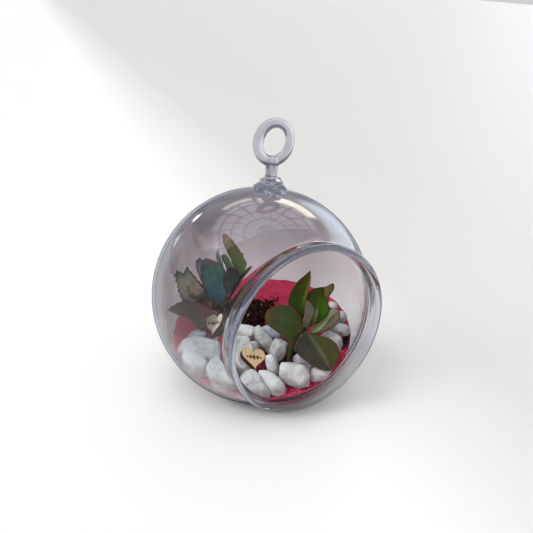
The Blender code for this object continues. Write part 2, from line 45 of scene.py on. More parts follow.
# ------------------------------------------------------------------ dimensions
GLOBE_R = 60.0 * MM
WALL = 1.6 * MM
CENTRE = Vector((0.0, 0.0, 55.5 * MM))
FLOOR_Z = 1.8 * MM
MOUTH_R = 42.2 * MM
LIP_R = 44.9 * MM
LIP_BEAD = 1.8 * MM
LIP_Y = 46.8 * MM
PAD_BASE_R = 9.2 * MM
PAD_TOP_R = 5.8 * MM
PAD_TOP_Z = 122.6 * MM
RING_Z = 141.2 * MM
RING_W = 9.7 * MM
RING_H = 10.0 * MM
RING_TUBE = 2.6 * MM
SAND_R = 58.25 * MM
SOIL_AT = Vector((4.5, 25.5, 27.0)) * MM
SOIL_SIZE = Vector((21.0, 12.5, 6.6)) * MM
SOIL_TILT = Euler((math.radians(13.0), math.radians(-13.0), math.radians(8.0)))
HEART_W = 13.8 * MM
HEART_T = 3.0 * MM
HEARTS = {
    'heart_front': ((-13.5, -18.2, 26.8), (30.6, 11.6, -16.0)),
    'heart_back': ((-17.5, 18.4, 31.1), (45.5, -23.2, -65.9)),
}
STEMS = [
    ('front_stem', (11.4, -18.0, 15.0), (8.6, -17.6, 33.5), (17.6, -18.9, 40.2), 1.7, 2.0),
    ('back_stem', (-3.0, 30.0, 26.0), (-4.5, 29.5, 34.0), (-6.0, 28.5, 44.0), 2.0, 1.5),
    ('toothed_stem', (-11.5, 28.0, 25.5), (-16.0, 29.5, 31.0), (-19.3, 30.5, 40.0), 1.7, 1.3),
]
# leaves: name, base, bend, tip, way the upper face looks, width, thickness,
# where it is widest, tip sharpness, cup, fold, teeth
LEAVES = [
    ('front_leaf_upright', (17.0, -15.2, 45.2), (14.0, -12.8, 56.2), (24.6, -10.2, 69.8),
     (-0.70, -0.70, 0.25), 12.4, 2.4, 0.42, 1.05, 0.20, 0.10, 0.0),
    ('front_leaf_curled', (20.6, -17.4, 43.9), (25.2, -18.9, 56.6), (37.2, -16.4, 62.5),
     (-0.68, -0.62, 0.40), 12.8, 2.2, 0.45, 0.85, 0.16, 0.18, 0.0),
    ('front_leaf_bud_left', (16.4, -19.8, 45.4), (15.2, -22.0, 51.0), (18.2, -20.2, 56.8),
     (0.55, -0.60, 0.20), 5.2, 1.7, 0.45, 1.0, 0.35, 0.10, 0.0),
    ('front_leaf_bud_right', (19.0, -21.2, 44.6), (21.2, -24.4, 49.6), (21.4, -22.4, 55.2),
     (-0.80, -0.50, 0.20), 4.6, 1.6, 0.45, 1.0, 0.35, 0.10, 0.0),
    ('front_leaf_broad', (14.2, -18.4, 41.2), (7.0, -15.6, 44.6), (-3.2, -10.4, 42.6),
     (-0.25, -0.62, 0.75), 21.5, 3.0, 0.56, 0.62, 0.16, 0.06, 0.0),
    ('front_leaf_folded', (21.4, -20.4, 40.2), (28.4, -26.0, 44.4), (37.4, -24.4, 49.3),
     (-0.45, -0.45, 0.80), 11.5, 2.0, 0.45, 1.15, 0.10, 0.55, 0.0),
    ('front_leaf_keeled', (15.2, -23.0, 38.0), (17.4, -35.6, 40.0), (22.4, -40.8, 24.6),
     (-0.22, -0.88, 0.42), 25.5, 3.0, 0.50, 0.70, 0.02, -0.26, 0.0),
    ('front_leaf_rear', (19.4, -15.4, 41.6), (27.0, -9.0, 45.0), (34.5, -3.5, 52.5),
     (-0.40, -0.20, 0.90), 10.5, 2.4, 0.50, 0.90, 0.18, 0.10, 0.0),
    ('back_leaf_tall', (-3.8, 29.4, 46.8), (5.0, 29.4, 60.0), (-5.0, 37.0, 79.2),
     (-0.60, -0.72, 0.20), 9.4, 2.2, 0.46, 1.15, 0.20, 0.12, 0.0),
    ('back_leaf_slim', (-3.2, 26.8, 44.8), (-0.2, 22.3, 51.0), (7.4, 22.8, 62.6),
     (-0.66, -0.55, 0.42), 5.8, 2.0, 0.58, 0.85, 0.20, 0.15, 0.0),
    ('back_leaf_blue', (-9.0, 27.2, 44.6), (-15.0, 23.4, 51.0), (-16.8, 34.6, 66.4),
     (-0.46, -0.80, 0.36), 15.6, 2.6, 0.55, 0.62, 0.14, 0.10, 0.0),
    ('back_leaf_sliver', (-9.2, 31.4, 45.0), (-16.8, 38.4, 48.5), (-17.8, 42.2, 63.6),
     (-0.30, -0.85, 0.40), 6.6, 1.8, 0.55, 0.90, 0.18, 0.10, 0.0),
    ('back_leaf_pointed', (-6.8, 31.8, 46.4), (-8.5, 35.6, 54.0), (-7.0, 39.8, 68.6),
     (-0.50, -0.82, 0.25), 6.2, 1.8, 0.45, 1.15, 0.20, 0.10, 0.0),
    ('back_leaf_small', (-6.4, 28.4, 47.6), (-6.8, 28.4, 58.0), (-7.2, 33.6, 68.6),
     (-0.50, -0.80, 0.30), 6.4, 1.8, 0.50, 0.85, 0.22, 0.10, 0.0),
    ('back_leaf_inner', (-5.2, 24.6, 46.4), (-7.2, 19.6, 54.4), (-5.4, 23.4, 64.6),
     (0.40, -0.85, 0.30), 6.0, 1.7, 0.52, 0.85, 0.30, 0.10, 0.0),
    ('toothed_leaf_jagged', (-19.8, 32.4, 42.6), (-25.2, 34.0, 46.0), (-33.6, 38.6, 60.4),
     (-0.40, -0.82, 0.38), 17.0, 2.0, 0.66, 0.28, 0.08, 0.10, 0.30),
    ('toothed_leaf_low', (-22.4, 30.2, 41.0), (-31.0, 28.6, 46.6), (-42.0, 29.2, 40.6),
     (-0.25, -0.62, 0.75), 10.5, 1.8, 0.42, 1.15, 0.12, 0.20, 0.05),
    ('toothed_leaf_red', (-21.2, 25.6, 37.0), (-26.8, 18.6, 42.0), (-32.8, 22.6, 34.0),
     (-0.35, -0.75, 0.55), 10.6, 2.0, 0.52, 0.60, 0.10, 0.10, 0.03),
    ('toothed_leaf_rear', (-18.0, 33.4, 40.4), (-16.8, 38.6, 46.0), (-19.5, 44.4, 50.5),
     (-0.20, -0.40, 0.90), 9.0, 1.8, 0.55, 0.80, 0.12, 0.15, 0.10),
]

# the viewpoint from which the leaf outlines are drawn, and the camera's own place
EYE = Vector((-0.20132, -0.30359, 0.22074))
AHEAD = Vector((0.51543, 0.76972, -0.37664))
RIGHT = Vector((0.84620, -0.52651, 0.08203))
UP = Vector((0.13517, 0.36099, 0.92272))


def sight(x, y):
    """The line of sight through a point of the 533 x 533 view."""
    return (AHEAD + RIGHT * ((x - 266.5) / 719.5) - UP * ((y - 266.5) / 719.5)).normalized()


def sand_height(x, y):
    u, v = x / MM, y / MM
    return (21.5 + 0.18 * u + 0.17 * v + 0.0026 * u * u + 0.0013 * v * v) * MM


# --------------------------------------------------------------------- helpers
def lin(r, g, b):
    """A colour given as 0-255 display values, in scene-linear light."""
    def f(c):
        c = c / 255.0
        return c / 12.92 if c <= 0.04045 else ((c + 0.055) / 1.055) ** 2.4
    return (f(r), f(g), f(b), 1.0)


def mesh_object(name, bm, mat=None, smooth=True, sharp=None):
    bmesh.ops.recalc_face_normals(bm, faces=bm.faces[:])
    mesh = bpy.data.meshes.new(name)
    bm.to_mesh(mesh)
    bm.free()
    obj = bpy.data.objects.new(name, mesh)
    bpy.context.scene.collection.objects.link(obj)
    if mat is not None:
        mesh.materials.append(mat)
    if smooth:
        mesh.shade_smooth()
        if sharp is not None:
            mesh.set_sharp_from_angle(angle=math.radians(sharp))
    return obj


def settle(obj):
    """Turn what the modifiers give into the object's own mesh."""
    bpy.context.view_layer.update()
    graph = bpy.context.evaluated_depsgraph_get()
    made = bpy.data.meshes.new_from_object(obj.evaluated_get(graph))
    obj.modifiers.clear()
    old = obj.data
    obj.data = made
    bpy.data.meshes.remove(old)
    return obj


def coords(mesh):
    co = np.empty(len(mesh.vertices) * 3, np.float32)
    mesh.vertices.foreach_get('co', co)
    return co.reshape(-1, 3)


def put_coords(mesh, co):
    mesh.vertices.foreach_set('co', np.ascontiguousarray(co, np.float32).ravel())
    mesh.update()


def piece(obj, slot, *nodes):
    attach(obj, "root")
    if nodes:
        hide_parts(*nodes)
    return obj


class Mat:
    """A node material with a Principled shader and small building blocks."""

    def __init__(self, name, rough=0.5, **shader):
        self.mat = bpy.data.materials.new(name)
        self.mat.use_nodes = True
        self.nt = self.mat.node_tree
        self.nt.nodes.clear()
        self.out = self.nt.nodes.new('ShaderNodeOutputMaterial')
        self.bsdf = self.nt.nodes.new('ShaderNodeBsdfPrincipled')
        self.nt.links.new(self.bsdf.outputs[0], self.out.inputs['Surface'])
        self.bsdf.inputs['Roughness'].default_value = rough
        for key, value in shader.items():
            self.bsdf.inputs[key.replace('_', ' ')].default_value = value
        self.where = self.nt.nodes.new('ShaderNodeTexCoord').outputs['Object']

    def plug(self, value, socket):
        if hasattr(value, 'is_linked'):
            self.nt.links.new(value, socket)
        else:
            socket.default_value = value

    def noise(self, scale, detail=3.0, rough=0.55, warp=0.0, where=None):
        n = self.nt.nodes.new('ShaderNodeTexNoise')
        n.inputs['Scale'].default_value = scale
        n.inputs['Detail'].default_value = detail
        n.inputs['Roughness'].default_value = rough
        n.inputs['Distortion'].default_value = warp
        self.nt.links.new(where or self.where, n.inputs['Vector'])
        return n.outputs['Fac']

    def cells(self, scale, feature='F1', output='Distance', where=None):
        n = self.nt.nodes.new('ShaderNodeTexVoronoi')
        n.feature = feature
        n.inputs['Scale'].default_value = scale
        self.nt.links.new(where or self.where, n.inputs['Vector'])
        return n.outputs[output]

    def stretched(self, sx, sy, sz, turn=(0, 0, 0), where=None):
        n = self.nt.nodes.new('ShaderNodeMapping')
        n.inputs['Scale'].default_value = (sx, sy, sz)
        n.inputs['Rotation'].default_value = turn
        self.nt.links.new(where or self.where, n.inputs['Vector'])
        return n.outputs[0]

    def ramp(self, fac, *stops, ease='LINEAR'):
        n = self.nt.nodes.new('ShaderNodeValToRGB')
        n.color_ramp.interpolation = ease
        marks = n.color_ramp.elements
        while len(marks) < len(stops):
            marks.new(0.5)
        for mark, (at, colour) in zip(marks, stops):
            mark.position = at
            mark.color = colour if len(colour) == 4 else (*colour, 1.0)
        self.nt.links.new(fac, n.inputs['Fac'])
        return n.outputs['Color']

    def level(self, fac, lo, hi, a=0.0, b=1.0, smooth=True):
        n = self.nt.nodes.new('ShaderNodeMapRange')
        n.interpolation_type = 'SMOOTHSTEP' if smooth else 'LINEAR'
        n.inputs['From Min'].default_value = lo
        n.inputs['From Max'].default_value = hi
        n.inputs['To Min'].default_value = a
        n.inputs['To Max'].default_value = b
        self.nt.links.new(fac, n.inputs['Value'])
        return n.outputs['Result']

    def math(self, kind, a, b=None):
        n = self.nt.nodes.new('ShaderNodeMath')
        n.operation = kind
        self.plug(a, n.inputs[0])
        if b is not None:
            self.plug(b, n.inputs[1])
        return n.outputs[0]

    def mix(self, fac, a, b, blend='MIX'):
        n = self.nt.nodes.new('ShaderNodeMix')
        n.data_type = 'RGBA'
        n.blend_type = blend
        self.plug(fac, n.inputs['Factor'])
        self.plug(a, n.inputs['A'])
        self.plug(b, n.inputs['B'])
        return n.outputs['Result']

    def attribute(self, name):
        n = self.nt.nodes.new('ShaderNodeAttribute')
        n.attribute_name = name
        split = self.nt.nodes.new('ShaderNodeSeparateXYZ')
        self.nt.links.new(n.outputs['Vector'], split.inputs[0])
        return split.outputs[0], split.outputs[1], split.outputs[2]

    def axis(self, which):
        split = self.nt.nodes.new('ShaderNodeSeparateXYZ')
        self.nt.links.new(self.where, split.inputs[0])
        return split.outputs[which]

    def colour(self, value):
        self.plug(value, self.bsdf.inputs['Base Color'])

    def rough(self, value):
        self.plug(value, self.bsdf.inputs['Roughness'])

    def bump(self, height, distance, strength=1.0):
        n = self.nt.nodes.new('ShaderNodeBump')
        n.inputs['Distance'].default_value = distance
        n.inputs['Strength'].default_value = strength
        self.nt.links.new(height, n.inputs['Height'])
        self.nt.links.new(n.outputs[0], self.bsdf.inputs['Normal'])


# ------------------------------------------------------------------- the glass
def glass_material():
    """Clear in front; darker grey at the back and the top, painted shade for the dim room seen through the glass; grey
    in the solid loop.
    """
    m = Mat('blown_glass', rough=0.0, IOR=1.47, Transmission_Weight=1.0)
    seeds = m.cells(260.0)
    y, z = m.axis(1), m.axis(2)
    front = (0.89, 0.89, 0.905, 1.0)
    back = (0.55, 0.485, 0.51, 1.0)
    neck = (0.72, 0.72, 0.76, 1.0)
    bead = (0.76, 0.78, 0.83, 1.0)
    pad = (0.90, 0.92, 1.0, 1.0)
    solid = (0.77, 0.77, 0.84, 1.0)
    # painted shade: the back wall and the top are tinted darker, standing in for the dim room seen through them
    back_shade_mask = m.math('ADD', y, m.math('MULTIPLY', m.noise(22.0, 2.0), 0.02))
    tone = m.mix(m.level(back_shade_mask, -0.012, 0.040), front, back)
    tone = m.mix(m.level(z, 0.086, 0.112, 0.0, 0.45), tone, (0.60, 0.60, 0.65, 1.0))
    # painted shade: a dark patch low on the front left and a darker left side of the globe
    painted_shade_patch = m.math('MULTIPLY', m.level(m.axis(0), -0.014, -0.044), m.level(y, -0.030, 0.0))
    painted_shade_patch = m.math('MULTIPLY', painted_shade_patch, m.level(m.noise(42.0, 3.0, 0.5, 0.8), 0.40, 0.62))
    tone = m.mix(painted_shade_patch, tone, (0.30, 0.31, 0.33, 1.0))
    side = m.math('MULTIPLY', m.level(m.axis(0), -0.038, -0.056, 0.0, 0.75), m.level(z, 0.034, 0.052))
    tone = m.mix(side, tone, (0.53, 0.54, 0.565, 1.0))
    tone = m.mix(m.math('MULTIPLY', m.level(y, -0.0385, -0.0420), m.level(z, 0.020, 0.050, 0.25, 1.0)), tone, neck)
    tone = m.mix(m.level(y, -0.0440, -0.0455), tone, bead)
    lip = m.level(y, -0.0405, -0.0425)
    tone = m.mix(m.math('MULTIPLY', lip, m.level(z, 0.040, 0.020)), tone, (0.92, 0.92, 0.94, 1.0))
    # painted shade: the left part of the lip is tinted darker
    shady = m.math('MULTIPLY', m.level(m.axis(0), -0.020, -0.035), m.level(z, 0.079, 0.067))
    tone = m.mix(m.math('MULTIPLY', lip, shady), tone, (0.36, 0.38, 0.44, 1.0))
    tone = m.mix(m.level(z, 0.1135, 0.1165), tone, pad)
    tone = m.mix(m.level(z, 0.1225, 0.1265), tone, solid)
    neck_of_loop = m.math('MULTIPLY', m.level(z, 0.1225, 0.1235), m.level(z, 0.1335, 0.1310))
    strands = m.noise(260.0, 2.0, 0.5, 0.4, where=m.stretched(1.6, 1.6, 0.22))
    tone = m.mix(neck_of_loop, tone, m.mix(m.level(strands, 0.42, 0.58), (0.46, 0.465, 0.53, 1.0), (0.78, 0.78, 0.84, 1.0)))
    m.colour(m.mix(m.level(seeds, 0.02, 0.05), m.mix(1.0, tone, (0.9, 0.9, 0.9, 1.0), 'MULTIPLY'), tone))
    ripple = m.math('ADD', m.noise(38.0, detail=1.0, rough=0.4),
                    m.math('MULTIPLY', m.noise(90.0, 2.0, 0.5, 1.2, where=m.stretched(1.0, 1.0, 0.35)), 0.35))
    m.bump(ripple, 0.0007, 0.30)
    absorb = m.nt.nodes.new('ShaderNodeVolumeAbsorption')
    absorb.inputs['Color'].default_value = (0.62, 0.64, 0.70, 1.0)
    absorb.inputs['Density'].default_value = 25.0
    m.nt.links.new(absorb.outputs[0], m.out.inputs['Volume'])
    clear = m.nt.nodes.new('ShaderNodeBsdfTransparent')
    path = m.nt.nodes.new('ShaderNodeLightPath')
    either = m.math('MAXIMUM', path.outputs['Is Shadow Ray'], path.outputs['Is Diffuse Ray'])
    thin = m.mix(path.outputs['Is Diffuse Ray'], (0.930, 0.928, 0.932, 1.0), (0.885, 0.920, 0.928, 1.0))
    # painted shade: the left part of the lip is darker here too
    deep = m.mix(m.math('MULTIPLY', lip, shady), (0.84, 0.86, 0.91, 1.0), (0.50, 0.52, 0.58, 1.0))
    m.plug(m.mix(either, deep, thin), clear.inputs['Color'])
    weight = m.nt.nodes.new('ShaderNodeLayerWeight')
    weight.inputs['Blend'].default_value = 0.5
    facing = weight.outputs['Facing']
    body = m.math('MULTIPLY', m.level(y, -0.0400, -0.0370), m.level(z, 0.1135, 0.1110))
    limb = m.nt.nodes.new('ShaderNodeBsdfTransparent')   # a long way through the wall: straight on, darker towards the rim, the dark rim partly painted shade
    edge = m.mix(m.level(facing, 0.62, 0.84), (0.90, 0.905, 0.92, 1.0), (0.74, 0.76, 0.80, 1.0))
    edge = m.mix(m.level(facing, 0.83, 0.92), edge, (0.44, 0.46, 0.52, 1.0))
    # painted shade: the left part of the lip is darker in the straight-through colour
    left = m.math('MULTIPLY', m.level(m.axis(0), -0.020, -0.035), m.level(z, 0.079, 0.067))
    under = m.math('MULTIPLY', m.level(z, 0.036, 0.022), m.math('SUBTRACT', 1.0, left))
    pale = m.mix(under, (0.87, 0.88, 0.90, 1.0), (0.90, 0.905, 0.92, 1.0))
    roll = m.mix(m.level(facing, 0.76, 0.92), m.mix(left, pale, (0.56, 0.58, 0.64, 1.0)),
                 m.mix(left, (0.67, 0.69, 0.73, 1.0), (0.40, 0.42, 0.49, 1.0)))
    edge = m.mix(lip, edge, roll)
    hook = m.level(z, 0.1225, 0.1265)
    m.plug(m.mix(hook, edge, (0.70, 0.70, 0.78, 1.0)), limb.inputs['Color'])
    rolled = m.math('MULTIPLY', m.math('MULTIPLY', lip, m.level(facing, 0.45, 0.80)),
                    m.level(left, 0.0, 1.0, 0.62, 0.88, smooth=False))
    rolled = m.math('MAXIMUM', rolled, m.math('MULTIPLY', m.math('MULTIPLY', lip, under),
                                              m.level(facing, 0.0, 0.35, 0.0, 0.85)))
    rolled = m.math('MAXIMUM', rolled, m.math('MULTIPLY', hook, m.level(facing, 0.42, 0.80, 0.0, 0.75)))
    wall = m.nt.nodes.new('ShaderNodeMixShader')
    body = m.math('MULTIPLY', body, m.level(facing, 0.64, 0.90, 0.0, 0.88))
    m.nt.links.new(m.math('MAXIMUM', body, rolled), wall.inputs[0])
    m.nt.links.new(m.bsdf.outputs[0], wall.inputs[1])
    m.nt.links.new(limb.outputs[0], wall.inputs[2])
    mix = m.nt.nodes.new('ShaderNodeMixShader')
    either = m.math('MAXIMUM', either, m.math('GREATER_THAN', path.outputs['Ray Depth'], 3.5))
    m.nt.links.new(either, mix.inputs[0])
    m.nt.links.new(wall.outputs[0], mix.inputs[1])
    m.nt.links.new(clear.outputs[0], mix.inputs[2])
    m.nt.links.new(mix.outputs[0], m.out.inputs['Surface'])
    return m.mat


def spline(points, per):
    """Catmull-Rom through the points, per steps between each two."""
    out = []
    for i in range(len(points) - 1):
        p0 = points[max(0, i - 1)]
        p1, p2 = points[i], points[i + 1]
        p3 = points[min(len(points) - 1, i + 2)]
        for k in range(per):
            t = k / per
            out.append(tuple(0.5 * ((2 * b) + (-a + c) * t + (2 * a - 5 * b + 4 * c - d) * t * t
                                    + (-a + 3 * b - 3 * c + d) * t ** 3)
                             for a, b, c, d in zip(p0, p1, p2, p3)))
    out.append(tuple(points[-1]))
    return out


def globe_section():
    """(radius, distance towards the mouth), inside surface then outside surface."""
    r_in = GLOBE_R - WALL
    a_mouth = math.asin(MOUTH_R / r_in)
    inner = []
    n = 46
    for i in range(n + 1):
        a = math.pi - (math.pi - a_mouth) * i / n
        inner.append((r_in * math.sin(a), r_in * math.cos(a)))
    inner[0] = (0.0, -r_in)
    knee = [inner[-3], inner[-1], (42.15 * MM, 41.8 * MM), (42.35 * MM, 43.2 * MM),
            (42.75 * MM, 45.0 * MM)]
    inner = inner[:-2] + spline(knee, 5)[3:-1]
    bead = []
    for i in range(23):
        a = math.radians(207.0 - 262.0 * i / 22)
        bead.append((LIP_R + LIP_BEAD * math.cos(a), LIP_Y + LIP_BEAD * math.sin(a)))
    a_out = math.acos(39.0 / 60.0)
    outer = []
    for i in range(n + 1):
        a = a_out + (math.pi - a_out) * i / n
        outer.append((GLOBE_R * math.sin(a), GLOBE_R * math.cos(a)))
    outer[-1] = (0.0, -GLOBE_R)
    waist = spline([bead[-1], (45.55 * MM, 44.2 * MM), (45.35 * MM, 42.6 * MM),
                    (45.38 * MM, 41.0 * MM), outer[0], outer[2]], 4)[1:-2]
    return inner + bead, waist + outer[2:]


def soft_floor(z, level, k=0.35 * MM):
    d = (z - level) / k
    return level + (z - level if d > 30 else k * math.log1p(math.exp(d)))


def glass_globe_mesh():
    inside, outside = globe_section()
    profile = inside + outside
    steps = 224
    bm = bmesh.new()
    rings = []
    for i, (r, a) in enumerate(profile):
        is_out = i >= len(inside)
        ring = []
        for k in range(1 if r < 1e-9 else steps):
            phi = 2.0 * math.pi * k / steps
            p = Vector((r * math.cos(phi), -a, CENTRE.z + r * math.sin(phi)))
            q = p * 26.0 + Vector((7.0 if is_out else 1.0, 3.0, 5.0))
            swell = noise.noise(q) * 0.10 * MM
            d = (p - CENTRE)
            if abs(a) < 41.0 * MM or a < 0:
                p += d.normalized() * (swell if not is_out else min(swell, 0.0) - 0.0)
            if is_out:
                p.z = soft_floor(p.z, 0.0)
            elif a < 41.0 * MM:
                p.z = soft_floor(p.z, FLOOR_Z)
            ring.append(bm.verts.new(p))
        rings.append(ring)
    for first, second in zip(rings, rings[1:]):
        for k in range(steps):
            n = (k + 1) % steps
            if len(first) == 1:
                bm.faces.new((first[0], second[k], second[n]))
            elif len(second) == 1:
                bm.faces.new((first[k], second[0], first[n]))
            else:
                bm.faces.new((first[k], second[k], second[n], first[n]))
    return bm


def swept_tube(bm, points, radii, sides=16):
    """A closed tube along points with a radius at each; ends are domed."""
    rings = []
    up = Vector((0.0, 1.0, 0.02)).normalized()
    for i, p in enumerate(points):
        a = points[max(0, i - 1)]
        b = points[min(len(points) - 1, i + 1)]
        t = (b - a).normalized()
        u = t.cross(up).normalized()
        v = t.cross(u).normalized()
        rings.append([bm.verts.new(p + (u * math.cos(2 * math.pi * k / sides)
                                        + v * math.sin(2 * math.pi * k / sides)) * radii[i])
                      for k in range(sides)])
    for first, second in zip(rings, rings[1:]):
        for k in range(sides):
            n = (k + 1) % sides
            bm.faces.new((first[k], first[n], second[n], second[k]))
    for ring, at, back in ((rings[0], points[0], points[1]), (rings[-1], points[-1], points[-2])):
        tip = bm.verts.new(at + (at - back).normalized() * radii[0] * 0.3)
        for k in range(sides):
            bm.faces.new((ring[k], ring[(k + 1) % sides], tip))
    return bm


def loop_mesh():
    """Pad, twisted stem and ring of the hanging loop as one soft gather."""
    bm = bmesh.new()
    profile = [(0.0, PAD_TOP_Z), (0.6 * PAD_TOP_R, PAD_TOP_Z - 0.1 * MM),
               (0.95 * PAD_TOP_R, PAD_TOP_Z - 0.7 * MM), (1.05 * PAD_TOP_R, PAD_TOP_Z - 1.6 * MM),
               (1.02 * PAD_TOP_R, PAD_TOP_Z - 2.6 * MM), (1.22 * PAD_TOP_R, PAD_TOP_Z - 3.5 * MM),
               (0.94 * PAD_BASE_R, PAD_TOP_Z - 4.8 * MM), (PAD_BASE_R, PAD_TOP_Z - 6.2 * MM),
               (0.98 * PAD_BASE_R, PAD_TOP_Z - 7.6 * MM), (0.86 * PAD_BASE_R, PAD_TOP_Z - 8.8 * MM),
               (0.0, PAD_TOP_Z - 8.8 * MM)]
    steps = 64
    rings = []
    for r, z in profile:
        ring = []
        for k in range(1 if r == 0.0 else steps):
            a = 2 * math.pi * k / steps
            lump = 1.0 + 0.060 * math.sin(3 * a + 700 * z) + 0.045 * math.sin(5 * a + 2.0 + 350 * z)
            lump += 0.030 * math.sin(8 * a + 1.0)
            ring.append(bm.verts.new((r * lump * math.cos(a), r * lump * math.sin(a),
                                      z + 0.35 * MM * math.sin(2 * a + 1.0) * (r > 0))))
        rings.append(ring)
    for first, second in zip(rings, rings[1:]):
        for k in range(steps):
            n = (k + 1) % steps
            if len(first) == 1:
                bm.faces.new((first[0], second[k], second[n]))
            elif len(second) == 1:
                bm.faces.new((first[k], second[0], first[n]))
            else:
                bm.faces.new((first[k], second[k], second[n], first[n]))
    for side in (-1, 1):                                 # two twisted strands
        pts, radii = [], []
        for i in range(17):
            t = i / 16
            turn = side * 0.55 * (t - 0.5) + (0.0 if side > 0 else math.pi) + 0.30
            off = (1.45 + 1.05 * t ** 3 + 0.35 * (1 - t) ** 3) * MM
            pts.append(Vector((off * math.cos(turn) + (0.9 * t - 0.7) * MM, off * math.sin(turn) * 0.75,
                               (120.2 + 11.4 * t) * MM)))
            radii.append((2.25 - 0.22 * math.sin(math.pi * t)) * MM)
        swept_tube(bm, pts, radii, 20)
    pts = [Vector(((0.6 * t - 0.5) * MM, 0.0, (120.5 + 12.0 * t) * MM)) for t in (0, .25, .5, .75, 1)]
    swept_tube(bm, pts, [1.9 * MM, 1.9 * MM, 2.0 * MM, 2.3 * MM, 2.7 * MM], 18)
    n_major, n_minor = 96, 28                            # the ring
    grid = []
    for i in range(n_major):
        a = 2 * math.pi * i / n_major
        low = max(0.0, -math.sin(a)) ** 3
        thick = RING_TUBE * (1.0 - 0.05 * math.cos(a) + 0.02 * math.sin(3 * a) + 0.10 * low)
        c = Vector((RING_W * math.cos(a), 0.0, RING_Z + RING_H * math.sin(a) + 0.3 * MM * low))
        out = Vector((math.cos(a) / RING_W, 0.0, math.sin(a) / RING_H)).normalized()
        ring = []
        for k in range(n_minor):
            b = 2 * math.pi * k / n_minor
            ring.append(bm.verts.new(c + out * (thick * math.cos(b))
                                     + Vector((0, 1, 0)) * (thick * math.sin(b))))
        grid.append(ring)
    for i in range(n_major):
        first, second = grid[i], grid[(i + 1) % n_major]
        for k in range(n_minor):
            n = (k + 1) % n_minor
            bm.faces.new((first[k], second[k], second[n], first[n]))
    return bm


glass = mesh_object('glass_body', glass_globe_mesh())
loop = mesh_object('loop_gather', loop_mesh())
remesh = loop.modifiers.new('fuse', 'REMESH')
remesh.mode = 'VOXEL'
remesh.voxel_size = 0.26 * MM
soften = loop.modifiers.new('flow', 'SMOOTH')
soften.factor = 0.5
soften.iterations = 9
settle(loop)
union = glass.modifiers.new('fused_loop', 'BOOLEAN')
union.operation = 'UNION'
union.solver = 'EXACT'
union.object = loop
settle(glass)
bpy.data.objects.remove(loop)
glass.data.materials.clear()
glass.data.materials.append(glass_material())
glass.data.shade_smooth()
glass.data.set_sharp_from_angle(angle=math.radians(38))
piece(glass, "glass", "glass_globe", "hanging_loop")


# ------------------------------------------------------------------ the stones
def stone_material(kind):
    m = Mat('marble_' + kind, rough=0.55)
    m.bsdf.inputs['Specular IOR Level'].default_value = 0.4
    m.bsdf.inputs['Subsurface Weight'].default_value = 0.03
    m.bsdf.inputs['Subsurface Radius'].default_value = (1.0, 0.9, 0.85)
    m.bsdf.inputs['Subsurface Scale'].default_value = 0.0010
    low, hollow_shade, broken = m.attribute('stone')             # near the sand (for painted low shade), hollow places (for painted shade), broken faces
    cloud = m.noise(130.0, detail=5.0, rough=0.6, warp=0.6)
    sugar = m.noise(1500.0, detail=3.0, rough=0.7)
    speck = m.cells(900.0)
    if kind == 'chip':
        tone = m.ramp(cloud, (0.26, (0.53, 0.55, 0.60, 1)), (0.46, (0.76, 0.765, 0.785, 1)),
                      (0.66, (0.94, 0.94, 0.935, 1)))
        m.rough(m.level(sugar, 0.3, 0.7, 0.42, 0.72))
        depth = 0.0013
    elif kind == 'pebble':
        tone = m.ramp(cloud, (0.25, (0.66, 0.68, 0.72, 1)), (0.55, (0.77, 0.78, 0.80, 1)),
                      (0.72, (0.90, 0.90, 0.90, 1)))
        m.rough(m.level(sugar, 0.3, 0.7, 0.34, 0.52))
        depth = 0.00028
    else:
        tone = m.ramp(cloud, (0.25, (0.36, 0.41, 0.48, 1)), (0.55, (0.52, 0.58, 0.64, 1)),
                      (0.80, (0.70, 0.74, 0.78, 1)))
        m.rough(m.level(sugar, 0.3, 0.7, 0.40, 0.60))
        depth = 0.00016
    # painted shade: hollow places are darker
    tone = m.mix(m.math('MULTIPLY', m.level(hollow_shade, 0.35, 1.0), 0.25), tone,
                 m.mix(1.0, tone, (0.60, 0.63, 0.70, 1.0), 'MULTIPLY'))
    dusty = m.level(m.noise(420.0, detail=2.0), 0.60, 0.78)
    tone = m.mix(m.math('MULTIPLY', dusty, 0.12), tone, lin(214, 168, 172))
    # painted shade: the stones' lower parts near the sand turn pinkish grey, standing in for shade and the sand's pink
    # reflected light
    painted_low_shade = m.math('MULTIPLY', m.level(low, 0.30, 0.62), m.level(m.noise(300.0, 3.0), 0.25, 0.75, 0.45, 0.9))
    tone = m.mix(painted_low_shade, tone, lin(146, 120, 123))
    tone = m.mix(m.math('MULTIPLY', m.level(speck, 0.0, 0.12, 1.0, 0.0), 0.22), tone,
                 (0.55, 0.56, 0.60, 1))
    # painted shade: stones towards the front are darker
    tone = m.mix(m.level(m.axis(1), -0.022, -0.038), tone, m.mix(1.0, tone, (0.90, 0.885, 0.89, 1.0), 'MULTIPLY'))
    m.colour(tone)
    grain = m.math('ADD', m.math('MULTIPLY', sugar, 0.6), m.math('MULTIPLY', m.noise(480.0, 4.0), 0.9))
    m.bump(grain, depth, 1.0)
    return m.mat


